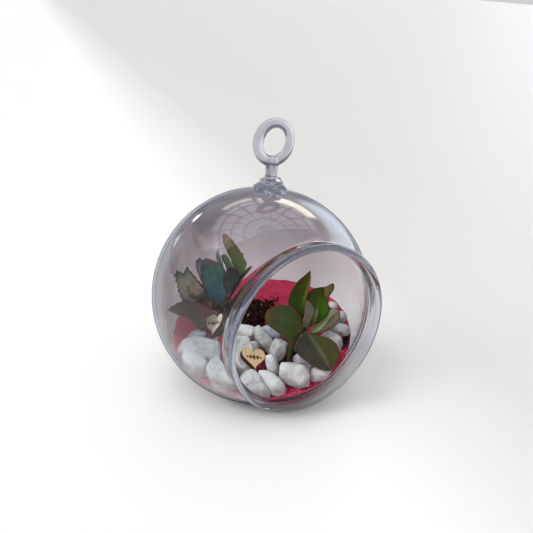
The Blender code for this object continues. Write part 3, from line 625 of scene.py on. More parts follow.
KIND = {'c': 'chip', 'p': 'pebble', 'g': 'grey'}
SLOT = {'c': 'marble_chip', 'p': 'marble_pebble', 'g': 'grey_stone'}
STONES = {'01': 'g', '02': 'c', '03': 'p', '04': 'c', '05': 'c', '06': 'g', '07': 'c', '08': 'c',
          '09': 'c', '10': 'g', '11': 'c', '12': 'c', '13': 'c', '14': 'p', '15': 'c', '16': 'p',
          '17': 'c', '18': 'p', '19': 'c', '20': 'p', '21': 'p', '22': 'p', '23': 'c', '24': 'c'}
stone_look = {k: stone_material(v) for k, v in KIND.items()}
stone_tree_parts = []
for name, kind in STONES.items():
    src = NODES['stone_' + name]
    bm = bmesh.new()
    pts = [v.co.copy() for v in src.data.vertices]
    mid = sum(pts, Vector()) / len(pts)
    grow = 1.045 if kind == 'c' else 1.06
    for p in pts:
        bm.verts.new(mid + (p - mid) * grow)
    bmesh.ops.remove_doubles(bm, verts=bm.verts[:], dist=0.00002)
    made = bmesh.ops.convex_hull(bm, input=bm.verts[:])
    spare = [g for g in made['geom_interior'] + made['geom_unused'] if isinstance(g, bmesh.types.BMVert)]
    bmesh.ops.delete(bm, geom=list(set(spare)), context='VERTS')
    stone = mesh_object('marble_' + name, bm, stone_look[kind])
    mod = stone.modifiers.new('voxels', 'REMESH')
    mod.mode = 'VOXEL'
    mod.voxel_size = (0.32 if kind == 'c' else 0.45) * MM
    mod = stone.modifiers.new('wear', 'SMOOTH')
    mod.factor = 0.5
    mod.iterations = 1 if kind == 'c' else 12
    settle(stone)
    stone.data.materials.clear()
    stone.data.materials.append(stone_look[kind])
    mesh = stone.data
    normals = np.empty(len(mesh.vertices) * 3, np.float32)
    mesh.vertices.foreach_get('normal', normals)
    normals = normals.reshape(-1, 3)
    co = coords(mesh)
    shift = np.empty(len(co), np.float32)
    seed = Vector((int(name) * 3.1, int(name) * 1.7, 0.4))
    marks = np.zeros((len(co), 3), np.float32)
    for i, p in enumerate(co):
        q = Vector(p)
        if kind == 'c':                                  # steps, chipped hollows and a rough break
            broad = noise.noise(q * 170.0 + seed)
            step = noise.noise(q * 300.0 + seed + Vector((9, 4, 2)))
            step = math.floor(step * 5.0) / 5.0 + 0.5 * (step * 5.0 - math.floor(step * 5.0)) ** 4 / 5.0
            chip = noise.ridged_multi_fractal(q * 420.0 + seed, 0.9, 2.1, 3, 1.0, 2.0) - 1.2
            shift[i] = (0.18 * broad + 0.52 * step + 0.24 * chip) * MM
            # hollows are marked here for painted shade in the colour
            marks[i, 1] = max(0.0, min(1.0, 0.20 - 1.2 * step - 0.5 * chip))
        else:
            shift[i] = (0.42 * noise.noise(q * 160.0 + seed) + 0.22 * noise.noise(q * 380.0 + seed)
                        + 0.06 * noise.noise(q * 800.0 + seed)) * MM
        marks[i, 0] = max(0.0, min(1.0, 1.0 - (q.z - sand_height(q.x, q.y)) / (12.0 * MM)))
    co = co + normals * shift[:, None]
    if kind == 'c':                                      # split faces
        cut = random.Random(int(name) * 13 + 5)
        heart_of = co.mean(axis=0)
        for _ in range(12):
            face = Vector((cut.gauss(0, 1), cut.gauss(0, 1), cut.gauss(0.25, 0.9))).normalized()
            deep = cut.uniform(0.4, 1.9) * MM
            if face.z < -0.35:
                continue
            face = np.array(face, np.float32)
            out = (co - heart_of) @ face
            co = co - np.clip(out - (out.max() - deep), 0.0, None)[:, None] * face * 0.97
    put_coords(mesh, co)
    layer = mesh.attributes.new('stone', 'FLOAT_VECTOR', 'POINT')
    layer.data.foreach_set('vector', marks.ravel())
    mesh.shade_smooth()
    if kind == 'c':
        mesh.set_sharp_from_angle(angle=math.radians(32))
    piece(stone, SLOT[kind], 'stone_' + name)
    stone_tree_parts.append(stone)


def tree_of(objects):
    verts, faces = [], []
    for o in objects:
        base = len(verts)
        verts += [v.co.copy() for v in o.data.vertices]
        faces += [[base + i for i in p.vertices] for p in o.data.polygons]
    return BVHTree.FromPolygons(verts, faces)


stone_tree = tree_of(stone_tree_parts)


# -------------------------------------------------------------------- the sand
def sand_material(name='dyed_sand'):
    m = Mat(name, rough=0.85)
    m.bsdf.inputs['Specular IOR Level'].default_value = 0.35
    grain = m.cells(2600.0, output='Color')
    split = m.nt.nodes.new('ShaderNodeSeparateXYZ')
    m.nt.links.new(grain, split.inputs[0])
    patch = m.noise(120.0, detail=4.0)
    fine = m.ramp(split.outputs[0], (0.0, lin(168, 32, 66)), (0.40, lin(186, 42, 78)),
                  (0.85, lin(200, 54, 90)), (1.0, lin(218, 98, 124)))
    coarse = m.ramp(split.outputs[0], (0.0, lin(120, 8, 38)), (0.35, lin(182, 22, 62)),
                    (0.75, lin(208, 42, 86)), (0.92, lin(232, 96, 130)), (1.0, lin(246, 190, 205)))
    tone = m.mix(m.level(m.axis(1), 0.004, -0.022), fine, coarse)
    tone = m.mix(m.level(patch, 0.35, 0.65, 0.0, 0.35), tone, lin(146, 20, 50))
    # painted shadow: a dark brown patch on the sand under the front plant
    dx, dy = m.math('SUBTRACT', m.axis(0), 0.010), m.math('ADD', m.axis(1), 0.013)
    off = m.math('SQRT', m.math('ADD', m.math('MULTIPLY', dx, dx), m.math('MULTIPLY', dy, dy)))
    off = m.math('ADD', off, m.math('MULTIPLY', m.noise(260.0, 4.0, 0.65), 0.010))
    tone = m.mix(m.level(off, 0.0205, 0.0150, 0.0, 0.88), tone, lin(48, 27, 24))
    dx, dy = m.math('SUBTRACT', m.axis(0), 0.0435), m.math('ADD', m.axis(1), 0.0262)   # and painted shade in a dark corner at the right
    off = m.math('SQRT', m.math('ADD', m.math('MULTIPLY', dx, dx), m.math('MULTIPLY', dy, dy)))
    off = m.math('ADD', off, m.math('MULTIPLY', m.noise(420.0, 4.0, 0.7), 0.006))
    tone = m.mix(m.level(off, 0.0125, 0.0085, 0.0, 0.85), tone, lin(92, 16, 34))
    bounced = m.nt.nodes.new('ShaderNodeLightPath').outputs['Is Diffuse Ray']
    m.colour(m.mix(m.math('MULTIPLY', bounced, 0.85), tone, (0.36, 0.31, 0.32, 1.0)))
    m.rough(m.level(split.outputs[1], 0.0, 1.0, 0.55, 0.95))
    height = m.math('ADD', m.cells(2600.0), m.math('MULTIPLY', m.noise(620.0, 3.0), 0.8))
    m.bump(height, 0.00026, 0.8)
    return m.mat


sand_look = sand_material()


def sand_top(x, y):
    """The lumpy sand surface, pushed up a little where a stone sits in it."""
    z = sand_height(x, y)
    p = Vector((x, y, z))
    z += 0.55 * MM * noise.noise(p * 95.0) + 0.30 * MM * noise.noise(p * 260.0 + Vector((3, 1, 2)))
    hit = stone_tree.find_nearest(p, 3.0 * MM)
    if hit[0] is not None:
        z += 0.9 * MM * max(0.0, 1.0 - hit[3] / (3.0 * MM)) ** 2
    return z


def sand_mesh():
    rng = random.Random(5)
    n_phi, n_rho, n_side = 330, 120, 26
    bm = bmesh.new()
    z_low = 2.0 * MM
    r_low = math.sqrt(SAND_R ** 2 - (CENTRE.z - z_low) ** 2)
    edge = []
    for k in range(n_phi):
        phi = 2 * math.pi * k / n_phi
        c, s = math.cos(phi), math.sin(phi)
        lo, hi = 0.02, SAND_R
        for _ in range(40):
            r = 0.5 * (lo + hi)
            z = sand_height(r * c, r * s) + 0.35 * MM * noise.noise(Vector((r * c, r * s, 0)) * 200.0)
            if r * r + (z - CENTRE.z) ** 2 > SAND_R ** 2:
                hi = r
            else:
                lo = r
        edge.append(lo)
    centre = bm.verts.new((0, 0, sand_top(0, 0)))
    rings = []
    for i in range(1, n_rho + 1):
        ring = []
        for k in range(n_phi):
            phi = 2 * math.pi * k / n_phi
            r = edge[k] * (i / n_rho) ** 0.8
            x, y = r * math.cos(phi), r * math.sin(phi)
            if i < n_rho:
                z = sand_top(x, y) + rng.uniform(-0.10, 0.10) * MM
                room = SAND_R ** 2 - r * r
                z = max(z, CENTRE.z - math.sqrt(max(0.0, room)) + 0.02 * MM)
            else:
                z = CENTRE.z - math.sqrt(SAND_R ** 2 - r * r) if r < SAND_R else CENTRE.z
            ring.append(bm.verts.new((x, y, z)))
        rings.append(ring)
    for k in range(n_phi):
        bm.faces.new((centre, rings[0][k], rings[0][(k + 1) % n_phi]))
    top = rings[-1]
    for j in range(1, n_side + 1):
        ring = []
        for k in range(n_phi):
            phi = 2 * math.pi * k / n_phi
            start = math.asin(min(1.0, edge[k] / SAND_R))
            if top[k].co.z > CENTRE.z:
                start = math.pi - start
            stop = math.asin(r_low / SAND_R)
            a = start + (stop - start) * j / n_side
            r = SAND_R * math.sin(a)
            z = CENTRE.z - SAND_R * math.cos(a)
            ring.append(bm.verts.new((r * math.cos(phi), r * math.sin(phi), z)))
        rings.append(ring)
    for first, second in zip(rings, rings[1:]):
        for k in range(n_phi):
            n = (k + 1) % n_phi
            bm.faces.new((first[k], second[k], second[n], first[n]))
    low = bm.verts.new((0, 0, z_low))
    for k in range(n_phi):
        bm.faces.new((rings[-1][k], low, rings[-1][(k + 1) % n_phi]))
    return bm


sand = mesh_object('crimson_sand', sand_mesh(), sand_look)
piece(sand, "sand", "sand_bed")
sand_tree = BVHTree.FromPolygons([v.co.copy() for v in sand.data.vertices],
                                 [list(p.vertices) for p in sand.data.polygons])


def ground(x, y, tree=None):
    """Height of the sand under a point, or None outside the globe."""
    hit = (tree or sand_tree).ray_cast(Vector((x, y, 90 * MM)), Vector((0, 0, -1)))
    return hit[0].z if hit[0] is not None else None


def loose_grains():
    """Coarser grains lying loose on the surface."""
    rng = random.Random(21)
    bm = bmesh.new()
    made = 0
    while made < 6500:
        a, r = rng.uniform(0, 2 * math.pi), 57.0 * MM * math.sqrt(rng.random())
        x, y = r * math.cos(a), r * math.sin(a)
        if rng.random() > (1.0 if y < -18 * MM else 0.10):
            continue
        z = ground(x, y)
        if z is None or r * r + (z - CENTRE.z) ** 2 > (57.4 * MM) ** 2:
            continue
        size = rng.uniform(0.12, 0.30) * MM
        at = Vector((x, y, z + 0.25 * size))
        turn = Euler((rng.uniform(0, 6.3), rng.uniform(0, 6.3), 0)).to_matrix()
        tips = [bm.verts.new(at + turn @ (Vector(d) * size * rng.uniform(0.7, 1.2)))
                for d in ((1, 0, 0), (-1, 0, 0), (0, 1, 0), (0, -1, 0), (0, 0, 1), (0, 0, -1))]
        for i in (0, 1):
            for j in (2, 3):
                for k in (4, 5):
                    bm.faces.new((tips[i], tips[j], tips[k]))
        made += 1
    return bm


grains = mesh_object('loose_sand_grains', loose_grains(), sand_look, smooth=False)
piece(grains, "sand")


# -------------------------------------------------------------------- the soil
def soil_material():
    m = Mat('potting_soil', rough=0.95)
    m.bsdf.inputs['Specular IOR Level'].default_value = 0.25
    crumb = m.noise(520.0, detail=6.0, rough=0.7, warp=0.8)
    tone = m.ramp(crumb, (0.30, lin(18, 7, 6)), (0.50, lin(42, 20, 16)), (0.66, lin(78, 46, 34)),
                  (0.84, lin(104, 70, 52)))
    tone = m.mix(m.level(m.noise(240.0, 3.0), 0.55, 0.75, 0.0, 0.45), tone, lin(62, 16, 24))
    m.colour(tone)
    m.bump(m.noise(900.0, detail=5.0, rough=0.75), 0.0005, 1.0)
    return m.mat


soil_look = soil_material()


def soil_mesh():
    bm = bmesh.new()
    bmesh.ops.create_icosphere(bm, subdivisions=6, radius=1.0)
    turn = SOIL_TILT.to_matrix()
    for v in bm.verts:
        p = SOIL_AT + turn @ Vector((v.co.x * SOIL_SIZE.x, v.co.y * SOIL_SIZE.y, v.co.z * SOIL_SIZE.z))
        d = (turn @ Vector((v.co.x / SOIL_SIZE.x, v.co.y / SOIL_SIZE.y, v.co.z / SOIL_SIZE.z))).normalized()
        q = p * 330.0
        lump = noise.fractal(q, 1.0, 2.2, 4) * 0.85 + 0.5 * (noise.cell(p * 620.0) - 0.5)
        lump += 1.1 * noise.noise(p * 120.0 + Vector((5, 2, 9)))
        v.co = p + d * lump * MM
    return bm


soil = mesh_object('potting_soil_clump', soil_mesh(), soil_look)
piece(soil, "soil", "soil")
soil_tree = BVHTree.FromPolygons([v.co.copy() for v in soil.data.vertices],
                                 [list(p.vertices) for p in soil.data.polygons])


def blob(bm, at, size, rng, subdivisions=1, rough=0.28):
    made = bmesh.ops.create_icosphere(bm, subdivisions=subdivisions, radius=1.0)
    turn = Euler((rng.uniform(0, 6.3), rng.uniform(0, 6.3), rng.uniform(0, 6.3))).to_matrix()
    for v in made['verts']:
        d = v.co.copy() * (1.0 + rng.uniform(-rough, rough))
        v.co = at + turn @ Vector((d.x * size[0], d.y * size[1], d.z * size[2]))


def soil_crumbs():
    rng = random.Random(8)
    bm = bmesh.new()
    made = 0
    while made < 620:
        a, r = rng.uniform(0, 2 * math.pi), math.sqrt(rng.random())
        if made % 7 == 0:
            r *= 1.22
        x = SOIL_AT.x + 21.5 * MM * r * math.cos(a)
        y = SOIL_AT.y + 13.5 * MM * r * math.sin(a)
        hit = soil_tree.ray_cast(Vector((x, y, 90 * MM)), Vector((0, 0, -1)))
        s = ground(x, y)
        z = max([h for h in (hit[0].z if hit[0] else None, s) if h is not None], default=None)
        if z is None or x * x + y * y + (z - CENTRE.z) ** 2 > (56.5 * MM) ** 2:
            continue
        size = rng.uniform(0.35, 1.25) * MM
        blob(bm, Vector((x, y, z + 0.3 * size)),
             (size, size * rng.uniform(0.6, 1.0), size * rng.uniform(0.5, 0.9)), rng)
        made += 1
    for k in range(330):                                 # a little pile on the right, a trail at the back
        x, y = (44.0 + rng.gauss(0, 3.2)) * MM, (-25.5 + rng.gauss(0, 3.0)) * MM
        if k % 3 == 2:
            x, y = (24.0 + rng.gauss(0, 3.0)) * MM, (27.5 + rng.gauss(0, 1.6)) * MM
        z = ground(x, y)
        if z is None or x * x + y * y + (z - CENTRE.z) ** 2 > (57.2 * MM) ** 2:
            continue
        size = rng.uniform(0.3, 0.85) * MM
        blob(bm, Vector((x, y, z + 0.3 * size)), (size, size * 0.8, size * 0.6), rng)
    return bm


crumbs = mesh_object('soil_crumbs', soil_crumbs(), soil_look)
piece(crumbs, "soil")


def perlite_material():
    m = Mat('perlite', rough=0.8)
    m.colour(m.ramp(m.noise(900.0, 3.0), (0.3, lin(120, 118, 112)), (0.7, lin(196, 194, 188))))
    m.bump(m.noise(1500.0, 2.0), 0.0002, 1.0)
    return m.mat


def bark_material(name, dark, light):
    m = Mat(name, rough=0.8)
    fibre = m.noise(600.0, 4.0, 0.65, where=m.stretched(1.0, 1.0, 0.22))
    m.colour(m.ramp(fibre, (0.30, dark), (0.70, light)))
    m.bump(fibre, 0.00025, 1.0)
    return m.mat


def on_soil(x, y):
    hit = soil_tree.ray_cast(Vector((x, y, 90 * MM)), Vector((0, 0, -1)))
    return hit[0] if hit[0] is not None else Vector((x, y, ground(x, y) or 28 * MM))


rng = random.Random(31)
bm = bmesh.new()
for _ in range(26):
    a, r = rng.uniform(0, 6.28), math.sqrt(rng.random()) * 0.9
    at = on_soil(SOIL_AT.x + 20 * MM * r * math.cos(a), SOIL_AT.y + 12 * MM * r * math.sin(a))
    size = rng.uniform(0.35, 0.75) * MM
    blob(bm, at + Vector((0, 0, 0.3 * size)), (size, size * 0.9, size * 0.8), rng, 2, 0.12)
perlite = mesh_object('perlite_beads', bm, perlite_material())
piece(perlite, "soil")

twig_look = bark_material('twig_bark', lin(40, 24, 18), lin(104, 74, 50))
bm = bmesh.new()
for _ in range(34):                                      # root fibres and twigs
    a, r = rng.uniform(0, 6.28), math.sqrt(rng.random())
    at = on_soil(SOIL_AT.x + 20 * MM * r * math.cos(a), SOIL_AT.y + 12 * MM * r * math.sin(a))
    way = Vector((rng.uniform(-1, 1), rng.uniform(-1, 1), rng.uniform(0.05, 0.5))).normalized()
    long = rng.uniform(3.0, 8.5) * MM
    bend = Vector((rng.uniform(-1, 1), rng.uniform(-1, 1), rng.uniform(-0.3, 0.5))) * 0.35
    pts = [at + (way + bend * t * t) * long * t for t in (0, .15, .3, .45, .6, .75, .9, 1.0)]
    r0 = rng.uniform(0.16, 0.42) * MM
    swept_tube(bm, pts, [r0 * (1 - 0.6 * i / 7) for i in range(8)], 7)
twigs = mesh_object('twigs_and_rootlets', bm, twig_look)
piece(twigs, "soil")


# ------------------------------------------------------------------ the stems
def bezier(a, b, c, t):
    return a * (1 - t) ** 2 + b * 2 * t * (1 - t) + c * t * t


STEM_COLOURS = {
    'front_stem': (lin(64, 54, 34), lin(92, 88, 54)),
    'back_stem': (lin(70, 50, 34), lin(126, 104, 72)),
    'toothed_stem': (lin(66, 44, 32), lin(130, 104, 78)),
}
for name, foot, bend, crown, r1, r2 in STEMS:
    a, b, c = (Vector(p) * MM for p in (foot, bend, crown))
    bm = bmesh.new()
    n = 34
    pts = [bezier(a, b, c, i / n) for i in range(n + 1)]
    radii = []
    for i in range(n + 1):
        t = i / n
        knot = 0.10 * max(0.0, math.sin(9.5 * math.pi * t)) ** 3
        radii.append((r1 + (r2 - r1) * t) * MM * (0.98 + knot))
    swept_tube(bm, pts, radii, 22)
    for v in bm.verts:
        v.co += Vector((noise.noise(v.co * 900.0), noise.noise(v.co * 900.0 + Vector((9, 9, 9))), 0)) * 0.14 * MM
    if name == 'front_stem':                             # swollen joint where the leaves meet
        made = bmesh.ops.create_icosphere(bm, subdivisions=4, radius=1.0)
        for v in made['verts']:
            d = v.co.copy()
            v.co = c + Vector((d.x * 3.0, d.y * 2.4, d.z * 2.6)) * MM * (1 + 0.12 * math.sin(5 * d.x + 3 * d.z))
    stem = mesh_object(name + '_bark', bm, bark_material(name + '_skin', *STEM_COLOURS[name]))
    piece(stem, "stem", name)

def hides_heart(p):
    """True where a scrap would stand in front of the small plywood heart at the back."""
    d = p - EYE
    x, y = (266.5 + 719.5 * d.dot(RIGHT) / d.dot(AHEAD), 266.5 - 719.5 * d.dot(UP) / d.dot(AHEAD))
    return 204.0 < x < 225.0 and 311.0 < y < 337.0


rng = random.Random(77)
bm = bmesh.new()
for base in ((-6.0, 28.0, 38.5), (-10.0, 27.0, 38.5), (-14.0, 27.0, 37.5), (-18.0, 28.0, 38.0)):   # dry bases
    for _ in range(26):
        at = (Vector(base) + Vector((rng.gauss(0, 1.8), rng.gauss(0, 1.6), rng.gauss(0, 1.8)))) * MM
        way = Vector((rng.uniform(-0.8, 0.8), rng.uniform(-0.9, 0.5), rng.uniform(-1.3, 0.7))).normalized()
        long = rng.uniform(3.0, 7.5) * MM
        bend = Vector((rng.uniform(-1, 1), rng.uniform(-1, 1), rng.uniform(-0.8, 0.1))) * 0.5
        pts = [at + (way + bend * t * t) * long * t for t in (0, .15, .3, .45, .6, .75, .9, 1.0)]
        r0 = rng.uniform(0.35, 1.0) * MM
        if hides_heart(pts[0]) or hides_heart(pts[4]) or hides_heart(pts[7]):
            continue
        swept_tube(bm, pts, [r0 * (1 - 0.7 * i / 7) for i in range(8)], 8)
for _ in range(46):                                      # dead leaf bases, flat and pointed
    size = Vector((rng.uniform(1.0, 2.0), rng.uniform(0.25, 0.5), rng.uniform(2.4, 4.6))) * MM
    at = Vector((rng.uniform(-19.0, -5.0), rng.gauss(28.0, 1.6), rng.uniform(35.0, 42.5))) * MM
    turn = Euler((rng.uniform(-0.7, 0.5), rng.uniform(-1.0, 1.0), rng.uniform(-0.9, 0.9))).to_matrix()
    if hides_heart(at) or hides_heart(at - turn @ Vector((0, 0, size.z))):
        continue
    made = bmesh.ops.create_uvsphere(bm, u_segments=14, v_segments=9, radius=1.0)
    for v in made['verts']:
        d = v.co.copy()
        point = 1.0 - 0.55 * max(0.0, d.z)
        d = Vector((d.x * size.x * point, d.y * size.y + 0.35 * size.x * d.x * d.x, d.z * size.z))
        v.co = at + turn @ d + Vector((0, 0, 1)) * 0.3 * MM * noise.noise(d * 900.0)
roots = mesh_object('dry_leaf_bases', bm, bark_material('dry_leaf_bases', lin(46, 32, 22), lin(116, 92, 62)))
piece(roots, "stem")


# ------------------------------------------------------------------ the leaves
# Each blade is drawn as two edges from its base to its tip (and a ridge where it
# has one), seen from the viewpoint, and carried onto the leaf's own bent plane.
# name: node, left edge, right edge, ridge, lift towards the viewer in mm,
# way the face looks (None: as in the table), thickness in mm, cup, fold
BLADES = {
    'front_blade_upright': (
        'front_leaf_upright',
        [(301.5, 319), (298.5, 314), (295.5, 311), (291.5, 308.5), (288.8, 305), (288.0, 301), (289.3, 296),
         (291.4, 290.5), (295.5, 284), (300, 279), (305, 275), (310.4, 270.2)],
        [(303.5, 319), (304.5, 313), (305.2, 307), (306, 301), (307.4, 296), (309, 290), (310.2, 285),
         (310.8, 280), (310.9, 275), (310.4, 270.2)],
        None, 0.0, None, 2.3, 0.22, 0.06),
    'front_blade_curled': (
        'front_leaf_curled',
        [(309, 325.5), (307, 319), (306.2, 312), (306.0, 306), (306.2, 300), (307.2, 295), (310, 291),
         (315, 288.2), (320, 287.2), (325, 286.6), (329, 285), (332.5, 283.4), (334.2, 284.6)],
        [(313, 325.5), (316, 323), (320.5, 321), (325, 318.5), (328, 315), (329.2, 311), (329.2, 307),
         (328.5, 303), (328.3, 299), (329.6, 295.5), (332, 292), (333.9, 288.5), (334.2, 284.6)],
        None, 2.6, None, 2.2, 0.16, 0.16),
    'front_blade_curled_tip': (
        'front_leaf_curled',
        [(322.6, 287.2), (323.2, 289.5), (323.4, 292.5), (324.0, 295), (325.4, 297.4), (327.8, 299.8)],
        [(333.4, 284.2), (334.4, 286.6), (333.8, 289.8), (331.8, 293.2), (329.8, 296), (327.8, 299.8)],
        None, 4.0, (-0.50, -0.80, 0.30), 1.2, -0.20, 0.0),
    'front_blade_bud_left': (
        'front_leaf_bud_left',
        [(302.6, 328), (303.6, 322), (304.2, 317.4), (304.5, 310), (305, 304.6), (306.9, 300.3)],
        [(307, 328), (309.4, 322.2), (312.5, 317.4), (314.2, 312.6), (314.2, 308.9), (311.4, 304.4), (308.8, 301.4),
         (306.9, 300.3)],
        None, 0.8, (-0.30, -0.92, 0.25), 1.6, 0.26, 0.08),
    'front_blade_bud_right': (
        'front_leaf_bud_right',
        [(306, 329), (309, 323.4), (312, 318), (314.4, 313), (317.2, 306.4)],
        [(311, 327), (315, 322.4), (317.6, 317), (318.6, 311.6), (317.2, 306.4)],
        None, 0.6, None, 1.3, 0.30, 0.08),
    'front_blade_broad': (
        'front_leaf_broad',
        [(304, 331), (304.4, 327), (303.4, 322), (301.2, 317), (297.2, 311.8), (293, 308.4), (289, 306),
         (286, 305), (282, 304.6), (277, 305.8), (272, 307.4), (268, 309.4), (265.8, 312.6), (264.9, 317)],
        [(301, 333), (297, 335.4), (293.6, 338.6), (291.6, 342.4), (289.4, 343.6), (286.6, 341), (283.6, 337.8),
         (280, 334.4), (276, 331.2), (272, 328.2), (268, 325), (265.6, 321.4), (264.9, 317)],
        [(302.5, 331), (296, 326), (288, 321), (279, 318), (271, 316.6), (264.9, 317)],
        1.6, None, 2.8, 0.10, 0.06),
    'front_blade_folded': (
        'front_leaf_folded',
        [(311, 329), (315, 325), (320, 321.5), (325, 317.5), (328.5, 312.4), (330.2, 309.2), (333, 308.8),
         (336, 309.8), (339.6, 310.6)],
        [(313, 333.6), (319, 331.4), (323, 328), (327, 323.5), (330, 319.5), (335, 314), (339.6, 310.6)],
        None, 0.6, None, 1.6, 0.05, 0.05),
    'front_blade_folded_under': (
        'front_leaf_folded',
        [(312.6, 333.0), (319, 330.9), (323, 327.5), (327, 323.0), (330, 319.0), (335, 313.5), (339.8, 310.0)],
        [(314.5, 334.4), (318, 334.4), (322, 333.2), (326, 331), (331, 329.6), (336, 326), (339, 322.5),
         (340.4, 317), (339.8, 310.0)],
        None, 1.6, (-0.15, -0.92, 0.22), 1.4, -0.12, 0.0),
    'front_blade_keeled': (
        'front_leaf_keeled',
        [(304.5, 331.5), (302.5, 334.6), (299, 339), (296.4, 344), (295.6, 349), (297, 353.6), (301.6, 358.2),
         (308, 362.6), (314, 366.4), (320, 369.2), (325.6, 370.6), (330.4, 371)],
        [(307.5, 331.2), (311, 332.6), (316, 334.2), (321, 335.8), (326, 337.2), (331, 339.4), (335.4, 343.2),
         (338.6, 348), (339.7, 353), (338.7, 359), (336, 363.6), (333, 368), (330.4, 371)],
        [(306, 331.5), (308.6, 335), (312.6, 341), (317, 347.4), (321.4, 355), (326, 363), (330.4, 371)],
        (1.5, 8.0), None, 3.0, 0.05, -0.20),
    'front_blade_rear': (
        'front_leaf_rear',
        [(312, 322), (317, 316), (323, 311), (328, 308), (331.5, 307.5)],
        [(316, 324), (322, 320), (327, 315.5), (330, 311.5), (331.5, 307.5)],
        None, 0.0, None, 2.0, 0.15, 0.10),
    'back_blade_tall': (
        'back_leaf_tall',
        [(232, 292), (234.6, 284), (235.6, 276), (233.6, 268), (230.8, 260), (227.6, 253), (224.8, 247),
         (222.8, 241.5), (221.8, 237), (222.2, 234), (224.4, 233.2)],
        [(237, 292), (239, 284), (241.4, 277), (244.2, 271), (245.4, 265), (244.8, 259.6), (242.8, 254.6),
         (239.6, 249.6), (236, 244.6), (232, 239.8), (228.2, 235.6), (226, 233.6), (224.4, 233.2)],
        None, 0.0, None, 2.2, 0.16, 0.12),
    'back_blade_slim': (
        'back_leaf_slim',
        [(227.6, 302), (228.8, 296), (231, 290), (233.4, 284), (236.6, 279), (240.4, 274.8), (244, 271),
         (247.4, 267.6), (250.4, 266.0), (252.4, 266.2)],
        [(231, 302), (234, 297.5), (237.8, 292), (241.4, 286), (244.4, 280), (247.8, 276), (251, 271.6),
         (252.8, 268.4), (252.4, 266.2)],
        None, 0.0, None, 1.9, 0.16, 0.16),
    'back_blade_blue': (
        'back_leaf_blue',
        [(213.5, 306), (210.6, 300.4), (207.0, 295.4), (205, 290.6), (202.8, 285), (201.4, 278), (200.4, 272), (200.4, 267),
         (201.4, 262), (203.2, 259), (205.4, 257.8)],
        [(221, 306), (224, 300.4), (226.6, 295.4), (228.4, 290), (229.2, 284), (228, 277), (225.4, 270.6), (221.6, 265.6),
         (217.4, 262), (213.6, 260.2), (209.4, 258.4), (205.4, 257.8)],
        None, 0.0, None, 2.4, 0.14, 0.06),
    'back_blade_sliver': (
        'back_leaf_sliver',
        [(203, 286), (199.6, 278), (196.6, 271), (195.2, 266), (195.6, 262), (197.2, 259), (199.6, 257.6)],
        [(206, 286), (204, 278), (202.6, 271), (202.2, 265), (202.2, 261), (201.4, 258.6), (199.6, 257.6)],
        None, 0.0, None, 1.7, 0.16, 0.10),
    'back_blade_pointed': (
        'back_leaf_pointed',
        [(220, 282), (220, 273), (219.2, 265), (216.8, 260), (215.7, 256), (216.4, 252), (218.6, 248.8)],
        [(226.5, 282), (225.4, 273), (223.4, 266), (221.2, 260), (219.8, 256), (219.4, 252), (218.6, 248.8)],
        None, 0.0, None, 1.7, 0.18, 0.08),
    'back_blade_small': (
        'back_leaf_small',
        [(228.5, 284), (227.2, 275), (225.6, 267), (222.4, 260.6), (220.8, 257), (221.8, 254.8), (224, 254.2)],
        [(235, 284), (234.6, 275), (233, 267), (229.6, 260), (226.8, 255.8), (224, 254.2)],
        None, 0.0, None, 1.8, 0.22, 0.10),
    'back_blade_inner': (
        'back_leaf_inner',
        [(225.4, 293), (224.2, 286), (224.6, 278), (226.4, 272), (229, 268.4), (232.2, 267.2)],
        [(229, 293), (232.6, 286), (235.8, 279.6), (237.4, 274), (236, 269.6), (232.2, 267.2)],
        None, 1.0, None, 1.7, 0.30, 0.10),
    'toothed_blade_jagged': (
        'toothed_leaf_jagged',
        [(201, 307), (196, 303.6), (190, 301.6), (185, 302.0), (181.6, 300.8), (181.2, 298.0), (179.0, 296.8),
         (179.6, 293.4), (177.2, 291.6), (178.4, 288.6), (176.0, 286.0), (177.2, 283.2), (174.4, 280.8),
         (175.8, 277.8), (173.6, 275.6), (175.8, 273.2), (175.4, 268.4), (178.4, 271.4), (180.6, 270.8),
         (182.2, 272.6), (182.8, 274.4), (183.0, 278.0)],
        [(211, 308), (210.6, 302.4), (209.4, 297.4), (207.2, 295.0), (206.8, 291.8), (204.2, 289.4), (203.6, 286.2),
         (200.8, 284.4), (199.8, 281.2), (196.8, 279.8), (195.6, 276.6), (193.2, 275.2), (191.8, 272.4),
         (189.6, 271.0), (187.4, 266.8), (185.6, 270.6), (183.9, 272.6), (183.0, 278.0)],
        [(206, 307.5), (200, 299), (194, 290.5), (188, 282.0), (184.4, 276.0), (183.2, 273.8), (183.0, 278.0)],
        0.0, None, 2.0, 0.10, 0.10),
    'toothed_blade_low': (
        'toothed_leaf_low',
        [(206, 308), (201, 305.4), (195, 303), (189, 300.6), (184, 300.2), (180.2, 302), (176.6, 302.8), (174.4, 305),
         (171, 306), (168.8, 308.4), (165.6, 310.0)],
        [(206, 319), (201, 318.6), (195.6, 318.4), (190, 317.4), (186, 317.6), (182.8, 315.8), (178.6, 316.0), (175.6, 313.8),
         (171.8, 313.0), (169.4, 311.2), (165.6, 310.0)],
        None, 0.0, None, 1.8, 0.12, 0.16),
    'toothed_blade_red': (
        'toothed_leaf_red',
        [(204.6, 300.4), (200, 299.8), (195, 300.6), (190.4, 302.6), (187.8, 306.4), (187.2, 311), (188.6, 317),
         (192, 322.6), (197, 327.6), (202.4, 331.4)],
        [(207.4, 302), (208.8, 306), (208.8, 311), (207.6, 317), (206.4, 322.6), (205, 327.6), (202.4, 331.4)],
        None, 1.0, None, 1.8, 0.10, 0.08),
    'toothed_blade_rear': (
        'toothed_leaf_rear',
        [(203, 302), (200, 296), (199, 290), (200.5, 285), (203, 282)],
        [(208, 302), (209.5, 296), (208.5, 290), (206, 285.5), (203, 282)],
        None, 0.0, None, 1.8, 0.12, 0.12),
}
LEAF_LINES = {spec[0]: spec for spec in LEAVES}


